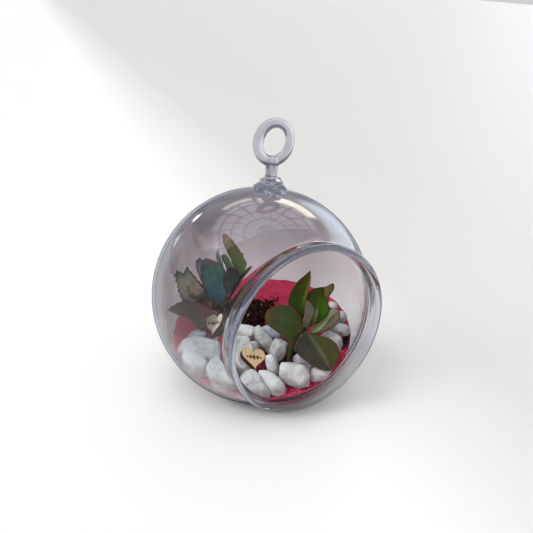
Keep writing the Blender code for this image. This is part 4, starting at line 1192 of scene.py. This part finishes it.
def edge_line(points, per):
    pts = [Vector(p) for p in (spline(points, per) if per > 1 else points)]
    run = [0.0]
    for a, b in zip(pts, pts[1:]):
        run.append(run[-1] + (b - a).length)
    return pts, [r / run[-1] for r in run]


def point_on(line, t):
    pts, run = line
    i = 0
    while i < len(run) - 2 and run[i + 1] < t:
        i += 1
    k = (t - run[i]) / max(1e-9, run[i + 1] - run[i])
    return pts[i].lerp(pts[i + 1], min(1.0, max(0.0, k)))


def blade_mesh(name):
    node, left, right, ridge, lift, face, thick, cup, fold = BLADES[name]
    _, base, bend, tip, look, width = LEAF_LINES[node][:6]
    base, bend, tip = (Vector(p) * MM for p in (base, bend, tip))
    axis = (tip - base).normalized()
    look = Vector(face or look)
    look = (look if face else look - axis * look.dot(axis)).normalized()
    toothed = name == 'toothed_blade_jagged' or name == 'toothed_blade_low'
    sides, rings = (44, 170) if toothed else (44, 62)
    per = 1 if toothed else 8
    left, right = edge_line(left, per), edge_line(right, per)
    ridge = edge_line(ridge, 8) if ridge else None
    phase = sum(map(ord, name)) * 0.7
    bm = bmesh.new()
    bmesh.ops.create_uvsphere(bm, u_segments=sides, v_segments=rings, radius=1.0)
    layer = bm.verts.layers.float_vector.new('blade')
    seen = {}
    for v in bm.verts:
        t = 0.5 * (v.co.z + 1.0)
        flat = math.hypot(v.co.x, v.co.y)
        u = v.co.x / flat if flat > 1e-6 else 0.0
        s = v.co.y / flat if flat > 1e-6 else 0.0
        key = round(t, 5)
        if key not in seen:
            along = max(0.0, min(1.0, 0.5 * (1.0 + math.asin(max(-1.0, min(1.0, 2 * t - 1))) * 0.55
                                             + (2 * t - 1) * (1.0 - 0.55 * math.pi / 2))))
            spine = bezier(base, bend, tip, along) if face is None else bezier(base, bend, tip, 0.6)
            raised = lift[0] + (lift[1] - lift[0]) * along if isinstance(lift, tuple) else lift
            spine = spine - AHEAD * (raised * MM)

            def lay(p):
                d = sight(p.x, p.y)
                return EYE + d * ((spine - EYE).dot(look) / d.dot(look))

            a, b = lay(point_on(left, along)), lay(point_on(right, along))
            m = lay(point_on(ridge, along)) if ridge else (a + b) * 0.5
            seen[key] = (a, b, m, along)
        a, b, m, along = seen[key]
        half = 0.5 * (a - b).length
        h = 0.5 * thick * MM * (0.60 + 0.40 * math.sin(math.pi * min(1.0, 1.2 * along + 0.1)))
        h *= math.sqrt(max(0.0, 1.0 - along ** 4)) * min(1.0, 0.25 + half / (1.6 * MM))
        if flat < 1e-6:
            h = 0.0
        lens = 1.0 - 0.55 * u * u                        # thinner towards the margin
        wave = 0.045 * math.sin(7.0 * along + phase) * abs(u) ** 3
        v[layer] = (u, s, along)
        v.co = m + (b - m) * max(0.0, u) + (a - m) * max(0.0, -u)
        v.co += look * (h * s * lens + cup * half * (u * u - 1.0) + fold * half * (abs(u) - 1.0) + wave * half)
        v.co += look * (0.12 * MM * noise.noise(v.co * 330.0 + Vector((phase, 0, 0))) * min(1.0, 5 * half / MM))
    return bm


def leaf_material(name, along, margin, under, left=None, right=None, side=0.6, edge=0.93, rim=0.85,
                  tip_at=0.97, mottled=0.25, streaks=0.30, rough=0.40, bloom=0.0, glow=0.10, spots=None,
                  ridge_highlight=None, edge_highlight=None, gain=(1.0, 1.0, 1.0)):
    """Colours run along the blade, with a tint on each half, veins and a thin margin; on some blades the half tints
    are painted light and shade, and the ridge and edge highlights are painted.
    """
    m = Mat(name + '_skin', rough=rough)
    m.bsdf.inputs['Specular IOR Level'].default_value = 0.22
    m.bsdf.inputs['Subsurface Weight'].default_value = glow
    m.bsdf.inputs['Subsurface Radius'].default_value = (0.6, 1.0, 0.3)
    m.bsdf.inputs['Subsurface Scale'].default_value = 0.0012
    u, s, t = m.attribute('blade')
    across = m.math('ABSOLUTE', u)
    wander = m.math('MULTIPLY', m.math('SUBTRACT', m.noise(190.0, 3.0), 0.5), 0.22)
    body = m.ramp(m.math('ADD', t, wander), *along, ease='EASE')
    if left is not None:
        body = m.mix(m.math('MULTIPLY', m.level(u, 0.02, -0.35), side), body, left)
    if right is not None:
        body = m.mix(m.math('MULTIPLY', m.level(u, -0.02, 0.35), side), body, right)
    body = m.mix(m.level(s, 0.25, -0.35), body, under)
    n = m.nt.nodes.new('ShaderNodeCombineXYZ')           # streaks that follow the blade
    m.nt.links.new(m.math('MULTIPLY', u, 7.0), n.inputs[0])
    m.nt.links.new(m.math('MULTIPLY', s, 0.4), n.inputs[1])
    m.nt.links.new(m.math('MULTIPLY', t, 1.1), n.inputs[2])
    veins = m.noise(1.6, 4.0, 0.6, 0.2, where=n.outputs[0])
    dark = m.mix(1.0, body, (0.52, 0.56, 0.52, 1), 'MULTIPLY')
    light = m.mix(1.0, body, (1.45, 1.40, 1.40, 1), 'MULTIPLY')
    cloud = m.noise(230.0, 4.0, 0.6)
    body = m.mix(m.math('MULTIPLY', m.level(cloud, 0.38, 0.66), mottled), body, dark)
    body = m.mix(m.math('MULTIPLY', m.level(veins, 0.40, 0.62), streaks), body, dark)
    body = m.mix(m.math('MULTIPLY', m.level(veins, 0.52, 0.36), streaks), body, light)
    body = m.mix(m.math('MULTIPLY', m.level(m.noise(1100.0, 3.0), 0.52, 0.75), 0.20 + 0.3 * mottled),
                 body, light)
    if spots is not None:
        body = m.mix(m.math('MULTIPLY', m.level(m.cells(620.0), 0.08, 0.30, 1.0, 0.0), 0.75), body, spots)
    if bloom:
        body = m.mix(m.math('MULTIPLY', m.level(m.noise(120.0, 3.0), 0.3, 0.7), bloom), body,
                     lin(150, 160, 158))
    # painted highlight along the ridge
    if ridge_highlight is not None:
        body = m.mix(m.math('MULTIPLY', m.level(m.math('ADD', across, m.math('MULTIPLY', wander, 0.2)),
                                                0.16, 0.02), 0.55), body, ridge_highlight)
    # painted highlight along one edge
    if edge_highlight is not None:
        body = m.mix(m.math('MULTIPLY', m.math('MULTIPLY', m.level(u, 0.50, 0.72), m.level(t, 0.15, 0.45)), 0.75),
                     body, edge_highlight)
    body = m.mix(1.0, body, (*gain, 1.0), 'MULTIPLY')
    fringe = m.math('ADD', across, m.math('MULTIPLY', m.noise(420.0, 2.0), 0.05))
    fringe = m.level(fringe, edge - 0.02, edge + 0.05)
    tipwise = m.level(m.math('ADD', t, m.math('MULTIPLY', wander, 0.4)), tip_at, tip_at + 0.05)
    body = m.mix(m.math('MAXIMUM', m.math('MULTIPLY', fringe, rim), m.math('MULTIPLY', tipwise, 0.75)),
                 body, margin)
    m.colour(body)
    m.rough(m.level(m.noise(500.0, 3.0), 0.3, 0.7, rough - 0.08, rough + 0.12))
    m.bump(m.math('ADD', m.math('ADD', m.noise(1300.0, 3.0), m.noise(300.0, 2.0)),
                  m.math('MULTIPLY', veins, 0.8)), 0.00014, 0.8)
    return m.mat


LEAF_COLOURS = {
    # the pale strip on the right is a painted highlight
    'front_blade_upright': dict(
        gain=(0.68, 0.63, 0.12),
        along=((0.0, lin(44, 76, 10)), (0.30, lin(50, 84, 12)), (0.55, lin(58, 76, 24)), (0.85, lin(82, 66, 38))),
        left=lin(60, 56, 20), right=lin(62, 84, 40), side=0.45, margin=lin(96, 40, 30), under=lin(88, 96, 86),
        edge_highlight=lin(118, 124, 112), edge=0.92),
    'front_blade_curled': dict(
        gain=(0.80, 0.66, 0.25),
        along=((0.0, lin(46, 96, 6)), (0.34, lin(58, 100, 14)), (0.62, lin(60, 80, 30)), (0.85, lin(66, 62, 30))),
        left=lin(50, 62, 28), right=lin(66, 118, 4), side=0.50, margin=lin(66, 22, 22), under=lin(56, 70, 30),
        rough=0.34, edge=0.91, rim=0.95),
    'front_blade_curled_tip': dict(
        gain=(0.95, 1.08, 0.75),
        along=((0.0, lin(110, 92, 64)), (0.5, lin(104, 88, 60)), (1.0, lin(84, 60, 42))),
        margin=lin(52, 24, 22), under=lin(70, 60, 40), streaks=0.75, edge=0.84),
    'front_blade_bud_left': dict(
        gain=(0.70, 0.78, 0.66),
        along=((0.0, lin(74, 84, 40)), (0.35, lin(112, 120, 96)), (0.95, lin(124, 120, 108))),
        right=lin(132, 104, 102), side=0.75, margin=lin(120, 72, 80), under=lin(96, 84, 76), edge=0.86),
    'front_blade_bud_right': dict(
        along=((0.0, lin(58, 80, 22)), (0.45, lin(82, 92, 52)), (0.95, lin(104, 108, 84))),
        left=lin(96, 92, 70), side=0.5, margin=lin(84, 44, 40), under=lin(74, 72, 50), edge=0.84),
    'front_blade_broad': dict(
        gain=(0.60, 0.56, 0.31),
        along=((0.0, lin(76, 92, 24)), (0.22, lin(72, 90, 40)), (0.50, lin(72, 92, 72)), (0.78, lin(84, 90, 72)),
               (0.92, lin(112, 84, 66))),
        right=lin(78, 86, 38), side=0.30, margin=lin(92, 36, 30), under=lin(88, 70, 50), edge=0.93, bloom=0.10),
    'front_blade_folded': dict(
        gain=(1.85, 1.65, 1.35),
        along=((0.0, lin(96, 120, 74)), (0.4, lin(122, 144, 118)), (0.8, lin(132, 144, 128)), (1.0, lin(110, 92, 80))),
        margin=lin(88, 20, 32), under=lin(104, 98, 80), edge=0.91, bloom=0.12),
    'front_blade_folded_under': dict(
        gain=(0.84, 0.88, 0.81),
        along=((0.0, lin(96, 66, 52)), (0.35, lin(132, 106, 90)), (0.8, lin(138, 122, 104)), (1.0, lin(96, 66, 56))),
        margin=lin(80, 22, 32), under=lin(104, 88, 72), edge=0.90, streaks=0.5),
    # the left half's grey tint is painted shade and the brighter ridge a painted highlight
    'front_blade_keeled': dict(
        gain=(0.95, 0.90, 0.88),
        along=((0.0, lin(76, 90, 50)), (0.28, lin(56, 72, 42)), (0.62, lin(70, 76, 44)), (0.85, lin(88, 74, 58)),
               (1.0, lin(56, 42, 24))),
        left=lin(52, 48, 42), right=lin(76, 76, 36), side=0.78, margin=lin(74, 32, 26), under=lin(84, 68, 58),
        edge=0.94, bloom=0.04, ridge_highlight=lin(98, 106, 82)),
    'front_blade_rear': dict(
        along=((0.0, lin(70, 88, 46)), (0.5, lin(84, 104, 70)), (1.0, lin(80, 70, 52))),
        margin=lin(84, 36, 34), under=lin(84, 84, 64)),
    'back_blade_tall': dict(
        gain=(1.72, 1.45, 2.52),
        along=((0.0, lin(44, 70, 40)), (0.40, lin(58, 84, 22)), (0.72, lin(78, 80, 26)), (0.86, lin(112, 82, 42)),
               (0.97, lin(150, 76, 42))),
        margin=lin(112, 58, 28), under=lin(78, 80, 44), edge=0.89, tip_at=0.95, streaks=0.45),
    'back_blade_slim': dict(
        gain=(0.12, 0.14, 0.05),
        along=((0.0, lin(40, 54, 18)), (0.35, lin(14, 18, 8)), (0.66, lin(28, 36, 8)), (0.84, lin(76, 112, 10)),
               (1.0, lin(88, 120, 16))),
        margin=lin(88, 20, 18), under=lin(34, 34, 18), edge=0.90, tip_at=1.2, streaks=0.45),
    'back_blade_blue': dict(
        gain=(1.82, 1.56, 1.62),
        along=((0.0, lin(48, 44, 30)), (0.10, lin(40, 70, 84)), (0.27, lin(34, 84, 104)), (0.50, lin(46, 88, 78)), (0.76, lin(56, 82, 64)),
               (0.90, lin(92, 56, 72))),
        left=lin(52, 84, 92), side=0.3, margin=lin(88, 40, 58), under=lin(66, 76, 84), edge=0.91, tip_at=0.90,
        streaks=0.45, bloom=0.08, mottled=0.55),
    'back_blade_sliver': dict(
        along=((0.0, lin(92, 92, 100)), (0.5, lin(150, 140, 156)), (1.0, lin(140, 120, 140))),
        margin=lin(86, 62, 84), under=lin(134, 124, 138), edge=0.80, streaks=0.6),
    'back_blade_pointed': dict(
        gain=(2.21, 1.84, 1.90),
        along=((0.0, lin(66, 80, 62)), (0.5, lin(84, 104, 88)), (1.0, lin(96, 96, 102))),
        margin=lin(62, 52, 60), under=lin(80, 84, 82), edge=0.86, streaks=0.6),
    'back_blade_small': dict(
        gain=(1.05, 1.10, 1.40),
        along=((0.0, lin(56, 82, 46)), (0.5, lin(72, 98, 58)), (1.0, lin(96, 108, 74))),
        margin=lin(56, 48, 40), under=lin(74, 84, 62), edge=0.86, streaks=0.7),
    'back_blade_inner': dict(
        along=((0.0, lin(58, 66, 50)), (0.35, lin(56, 84, 86)), (0.60, lin(52, 64, 64)), (0.82, lin(48, 42, 54)),
               (1.0, lin(44, 26, 42))),
        left=lin(62, 80, 82), side=0.4, margin=lin(52, 22, 38), under=lin(44, 40, 50), edge=0.84, streaks=0.6),
    'toothed_blade_jagged': dict(
        gain=(1.66, 1.68, 2.13),
        along=((0.0, lin(52, 40, 26)), (0.14, lin(66, 70, 46)), (0.26, lin(104, 94, 72)), (0.46, lin(190, 156, 128)), (0.66, lin(158, 146, 116)),
               (0.86, lin(96, 104, 70))),
        left=lin(100, 104, 76), right=lin(112, 110, 84), side=0.45, margin=lin(44, 32, 14), under=lin(88, 86, 66),
        edge=0.84, rim=0.75, tip_at=0.97, mottled=1.0, streaks=0.30, rough=0.62, spots=lin(62, 70, 48)),
    'toothed_blade_low': dict(
        gain=(0.77, 0.58, 0.54),
        along=((0.0, lin(46, 62, 44)), (0.35, lin(56, 78, 50)), (0.65, lin(92, 80, 46)), (0.88, lin(80, 48, 26)),
               (1.0, lin(64, 18, 14))),
        margin=lin(58, 16, 10), under=lin(60, 54, 40), edge=0.84, mottled=0.95, streaks=0.6, rough=0.58,
        tip_at=0.88, spots=lin(34, 40, 22)),
    'toothed_blade_red': dict(
        gain=(0.95, 0.78, 0.80),
        along=((0.0, lin(84, 58, 36)), (0.30, lin(92, 44, 44)), (0.65, lin(78, 54, 62)), (1.0, lin(66, 64, 68))),
        right=lin(120, 42, 36), side=0.5, margin=lin(70, 34, 32), under=lin(84, 62, 62), edge=0.92, rim=0.5,
        mottled=0.6, streaks=0.5, rough=0.55, glow=0.2),
    'toothed_blade_rear': dict(
        along=((0.0, lin(66, 66, 46)), (0.5, lin(82, 80, 58)), (1.0, lin(80, 60, 44))),
        margin=lin(70, 44, 32), under=lin(64, 60, 44), mottled=0.5, rough=0.6),
}
for name in BLADES:
    node = BLADES[name][0]
    leaf = mesh_object(name, blade_mesh(name), leaf_material(name, **LEAF_COLOURS[name]))
    piece(leaf, node.split('_')[0] + '_leaf', node)


# ------------------------------------------------------------------ the hearts
def heart_outline(n):
    points = []
    for i in range(n):
        a = 2.0 * math.pi * i / n
        x = 16.0 * math.sin(a) ** 3
        y = 13.0 * math.cos(a) - 5.0 * math.cos(2 * a) - 2.0 * math.cos(3 * a) - math.cos(4 * a)
        points.append((x * HEART_W / 32.0, (y + 2.4) * HEART_W / 29.5))
    return points


def ply_material(name, turn, painted_light_lift):
    m = Mat(name, rough=0.55)
    u, s, t = m.attribute('ply')                        # side wall, across the sheet, face
    pos = m.stretched(1.0, 1.0, 1.0, turn)
    streak = m.noise(420.0, 4.0, 0.6, 0.3, where=m.stretched(2.6, 0.28, 1.0, (0, 0, 0.35), where=pos))
    pore = m.noise(2400.0, 2.0, 0.6, where=m.stretched(3.0, 0.25, 1.0, (0, 0, 0.35), where=pos))
    face = m.ramp(streak, (0.30, lin(204, 172, 130)), (0.55, lin(218, 190, 150)), (0.75, lin(228, 206, 172)))
    face = m.mix(m.level(pore, 0.60, 0.72, 0.0, 0.35), face, lin(150, 112, 70))
    # painted light: the face is paled towards white to lift it out of shade
    face = m.mix(painted_light_lift, face, (0.95, 0.84, 0.69, 1.0))
    plies = m.math('SINE', m.math('MULTIPLY', s, 9.4))
    char = m.ramp(m.noise(700.0, 4.0), (0.3, lin(26, 15, 9)), (0.7, lin(74, 46, 24)))
    char = m.mix(m.level(plies, 0.2, 0.9, 0.0, 0.35), char, lin(98, 64, 34))
    scorch = m.mix(m.level(t, 0.80, 1.0, 0.0, 0.6), face, lin(122, 78, 40))
    m.colour(m.mix(m.level(u, 0.35, 0.65), scorch, char))
    m.bump(m.math('ADD', streak, pore), 0.00010, 0.8)
    return m.mat


def burnt_material():
    m = Mat('burnt_marks', rough=0.75)
    m.colour(m.ramp(m.noise(1600.0, 3.0), (0.3, lin(70, 40, 16)), (0.7, lin(128, 82, 38))))
    return m.mat


burnt = burnt_material()
for name, (place, turn) in HEARTS.items():
    placed = Matrix.LocRotScale(Vector(place) * MM, Euler([math.radians(v) for v in turn]), None)
    outline = heart_outline(168)
    bm = bmesh.new()
    layer = bm.verts.layers.float_vector.new('ply')
    half = 0.5 * HEART_T
    inset = 0.16 * MM
    levels = [(-half, inset, 0.0), (-half + 0.12 * MM, 0.04 * MM, 1.0)]
    levels += [(-half + HEART_T * k / 6, 0.0, 1.0) for k in range(1, 6)]
    levels += [(half - 0.12 * MM, 0.04 * MM, 1.0), (half, inset, 0.0)]
    c = Vector((0.0, 0.5 * MM))

    def ring_at(z, shrink, wall, near):
        ring = []
        for x, y in outline:
            d = Vector((x, y)) - c
            d *= max(0.0, 1.0 - shrink / d.length) if shrink else 1.0
            v = bm.verts.new((c.x + d.x, c.y + d.y, z))
            v[layer] = (wall, (z + half) / HEART_T, near)
            ring.append(v)
        return ring

    rings = [ring_at(z, shrink, wall, 1.0) for z, shrink, wall in levels]
    for first, second in zip(rings, rings[1:]):
        for k in range(len(outline)):
            n = (k + 1) % len(outline)
            bm.faces.new((first[k], first[n], second[n], second[k]))
    for z, start in ((-half, rings[0]), (half, rings[-1])):
        last = start
        for step in (0.8, 1.6, 2.6, 3.8, 5.0):
            ring = []
            for k, (x, y) in enumerate(outline):
                d = Vector((x, y)) - c
                d *= max(0.02, 1.0 - step / 6.0)
                v = bm.verts.new((c.x + d.x, c.y + d.y, z))
                v[layer] = (0.0, (z + half) / HEART_T, max(0.0, 1.0 - step / 1.4))
                ring.append(v)
            for k in range(len(outline)):
                n = (k + 1) % len(outline)
                bm.faces.new((last[k], last[n], ring[n], ring[k]))
            last = ring
        mid = bm.verts.new((c.x, c.y, z))
        mid[layer] = (0.0, 0.5, 0.0)
        for k in range(len(outline)):
            bm.faces.new((last[k], last[(k + 1) % len(outline)], mid))
    bmesh.ops.transform(bm, matrix=placed, verts=bm.verts[:])
    # the heart at the back gets the painted light lift
    heart = mesh_object(name + '_plywood', bm,
                        ply_material(name + '_birch', [-math.radians(v) for v in turn],
                                     0.7 if name == 'heart_back' else 0.0), sharp=30)
    piece(heart, "plywood", name)

    bm = bmesh.new()                                     # a plain row of burnt diamonds and dots
    for k, cx in enumerate((-3.9, -2.05, 0.0, 2.05, 3.9)):
        rx, ry = ((0.60, 0.60) if k % 2 == 0 else (1.05, 1.6))
        rx, ry = ((1.15, 1.9) if k == 2 else (rx, ry))
        n = 24
        top, low = [], []
        for i in range(n):
            a = 2 * math.pi * i / n
            if k % 2 == 0 and k != 2:
                x, y = rx * math.cos(a), ry * math.sin(a)
            else:
                q = abs(math.cos(a)) + abs(math.sin(a))
                x, y = rx * math.cos(a) / q, ry * math.sin(a) / q
            for bag, z in ((top, 0.05), (low, -0.12)):
                bag.append(bm.verts.new(((cx + x) * MM, (y + 0.9) * MM, half + z * MM)))
        bm.faces.new(top)
        bm.faces.new(low[::-1])
        for i in range(n):
            j = (i + 1) % n
            bm.faces.new((top[i], low[i], low[j], top[j]))
    bmesh.ops.transform(bm, matrix=placed, verts=bm.verts[:])
    marks = mesh_object(name + '_marks', bm, burnt, smooth=False)
    piece(marks, "plywood")


# ----------------------------------------------------- floor, light and camera
floor_mat = Mat('studio_floor', rough=0.55)
m_speck = floor_mat.math('MULTIPLY', floor_mat.noise(3.0, 2.0), 0.06)
# painted shade: the floor darkens towards the right and the back, standing in for the globe's shadow and the dimmer
# far floor
away = floor_mat.math('ADD', floor_mat.math('MULTIPLY', floor_mat.axis(0), 1.07),
                      floor_mat.math('MULTIPLY', floor_mat.axis(1), -0.25))
shade = floor_mat.ramp(floor_mat.level(away, -0.05, 0.35, smooth=False), (0.0, (0.95, 0.95, 0.945, 1)),
                       (0.20, (0.94, 0.94, 0.935, 1)), (0.375, (0.79, 0.79, 0.788, 1)),
                       (0.55, (0.665, 0.665, 0.662, 1)), (0.925, (0.645, 0.645, 0.642, 1)),
                       (1.0, (0.64, 0.64, 0.638, 1)))
floor_mat.colour(floor_mat.mix(m_speck, shade, (0.84, 0.84, 0.835, 1)))
bm = bmesh.new()
bmesh.ops.create_grid(bm, x_segments=8, y_segments=8, size=40.0)
bmesh.ops.translate(bm, verts=bm.verts[:], vec=(0, 0, -0.0002))
floor = mesh_object('floor', bm, floor_mat.mat)


def soft_sun(name, towards, strength, spread, colour=(1, 1, 1)):
    data = bpy.data.lights.new(name, 'SUN')
    data.energy = strength
    data.angle = math.radians(spread)
    data.color = colour
    obj = bpy.data.objects.new(name, data)
    bpy.context.scene.collection.objects.link(obj)
    obj.location = towards
    obj.rotation_mode = 'QUATERNION'
    obj.rotation_quaternion = (-Vector(towards)).to_track_quat('-Z', 'Y')
    return obj


for lamp in (soft_sun('key_left', (-1.05, 0.10, 0.80), 1.72, 24.0, (1.0, 0.985, 0.96)),
             soft_sun('fill_high', (-0.35, -0.55, 1.25), 0.42, 50.0, (1.0, 0.99, 0.98))):
    lamp.visible_glossy = False
    lamp.visible_transmission = False

# soft surroundings: a pale tent in front, a dimmer room behind, a barred skylight
world = bpy.data.worlds.new('studio')
bpy.context.scene.world = world
world.use_nodes = True
wn = world.node_tree
wn.nodes.clear()


def w_node(kind, **settings):
    n = wn.nodes.new(kind)
    for key, value in settings.items():
        setattr(n, key, value)
    return n


def w_math(kind, a, b=None):
    n = w_node('ShaderNodeMath', operation=kind)
    for socket, value in zip(n.inputs, (a, b)):
        if value is None:
            continue
        if hasattr(value, 'is_linked'):
            wn.links.new(value, socket)
        else:
            socket.default_value = value
    return n.outputs[0]


def w_step(value, lo, hi):
    n = w_node('ShaderNodeMapRange', interpolation_type='SMOOTHSTEP')
    n.inputs['From Min'].default_value = lo
    n.inputs['From Max'].default_value = hi
    wn.links.new(value, n.inputs['Value'])
    return n.outputs['Result']


def w_window(lo_az, hi_az, lo_el, hi_el, soft):
    """1 inside a patch of sky given in degrees, 0 outside."""
    a = w_math('MULTIPLY', w_step(az, lo_az - soft, lo_az + soft), w_step(az, hi_az + soft, hi_az - soft))
    b = w_math('MULTIPLY', w_step(el, lo_el - soft, lo_el + soft), w_step(el, hi_el + soft, hi_el - soft))
    return w_math('MULTIPLY', a, b)


def w_mix(fac, a, b):
    n = w_node('ShaderNodeMix', data_type='RGBA')
    for socket, value in ((n.inputs['Factor'], fac), (n.inputs['A'], a), (n.inputs['B'], b)):
        if hasattr(value, 'is_linked'):
            wn.links.new(value, socket)
        else:
            socket.default_value = value
    return n.outputs['Result']


w_dir = w_node('ShaderNodeSeparateXYZ')
wn.links.new(w_node('ShaderNodeTexCoord').outputs['Generated'], w_dir.inputs[0])
az = w_math('MULTIPLY', w_math('ARCTAN2', w_dir.outputs[0], w_dir.outputs[1]), 180.0 / math.pi)
el = w_math('MULTIPLY', w_math('ARCSINE', w_dir.outputs[2]), 180.0 / math.pi)
paths = w_node('ShaderNodeLightPath')
cloudy = w_node('ShaderNodeTexNoise')
cloudy.inputs['Scale'].default_value = 3.2
cloudy.inputs['Detail'].default_value = 3.0
wn.links.new(w_node('ShaderNodeTexCoord').outputs['Generated'], cloudy.inputs['Vector'])
clouds = w_step(cloudy.outputs['Fac'], 0.38, 0.64)
# what lights the room
tent = w_mix(w_step(w_math('ABSOLUTE', az), 70.0, 120.0), (0.46, 0.46, 0.47, 1), (0.29, 0.29, 0.29, 1))
tent = w_mix(w_step(el, 12.0, 60.0), tent, (1.36, 1.36, 1.37, 1))
tent = w_mix(paths.outputs['Is Camera Ray'], tent, (1.02, 1.02, 1.0, 1))
# what the glass mirrors
room = w_mix(w_step(w_math('ABSOLUTE', az), 70.0, 120.0), (0.34, 0.34, 0.38, 1), (0.50, 0.50, 0.52, 1))
deep = room
room = w_mix(clouds, room, (0.95, 0.96, 1.00, 1))
bars = w_math('MINIMUM', w_math('ABSOLUTE', w_math('SUBTRACT', w_math('PINGPONG', az, 15.0), 7.5)),
              w_math('MULTIPLY', w_math('ABSOLUTE', w_math('SUBTRACT', w_math('PINGPONG', el, 11.0), 5.5)), 1.2))
glow = w_mix(w_step(bars, 1.5, 0.6), (3.4, 3.4, 3.9, 1), (0.8, 0.8, 0.9, 1))
room = w_mix(w_window(-78.0, 92.0, 43.0, 86.0, 3.0), room, glow)
room = w_mix(w_window(26.0, 68.0, 33.0, 43.0, 2.5), room, (13.0, 12.2, 10.4, 1))
room = w_mix(w_window(0.0, 21.0, 34.5, 40.0, 2.5), room, (6.0, 5.8, 5.3, 1))
room = w_mix(w_window(49.0, 108.0, -6.0, 30.0, 5.0), room, (3.9, 4.4, 5.1, 1))
room = w_mix(w_window(-15.0, -8.0, 2.5, 7.0, 1.5), room, (3.4, 4.0, 4.8, 1))
room = w_mix(w_window(-4.0, 1.0, 12.6, 17.0, 1.2), room, (14.0, 14.0, 14.0, 1))
room = w_mix(w_math('LESS_THAN', paths.outputs['Ray Depth'], 2.5), deep, room)
sky = w_mix(paths.outputs['Is Glossy Ray'], tent, room)
w_bg = w_node('ShaderNodeBackground')
wn.links.new(sky, w_bg.inputs['Color'])
w_bg.inputs['Strength'].default_value = 0.62
wn.links.new(w_bg.outputs[0], w_node('ShaderNodeOutputWorld').inputs['Surface'])

cam = bpy.data.cameras.new('camera')
cam.lens = 48.6
cam.sensor_width = 36.0
cam_obj = bpy.data.objects.new('camera', cam)
bpy.context.scene.collection.objects.link(cam_obj)
cam_obj.matrix_world = Matrix(((RIGHT.x, UP.x, -AHEAD.x, EYE.x), (RIGHT.y, UP.y, -AHEAD.y, EYE.y),
                               (RIGHT.z, UP.z, -AHEAD.z, EYE.z), (0, 0, 0, 1)))
cam.clip_start = 0.01
cam.clip_end = 20.0
bpy.context.scene.camera = cam_obj

scene = bpy.context.scene
scene.view_settings.view_transform = 'Standard'
scene.view_settings.look = 'None'
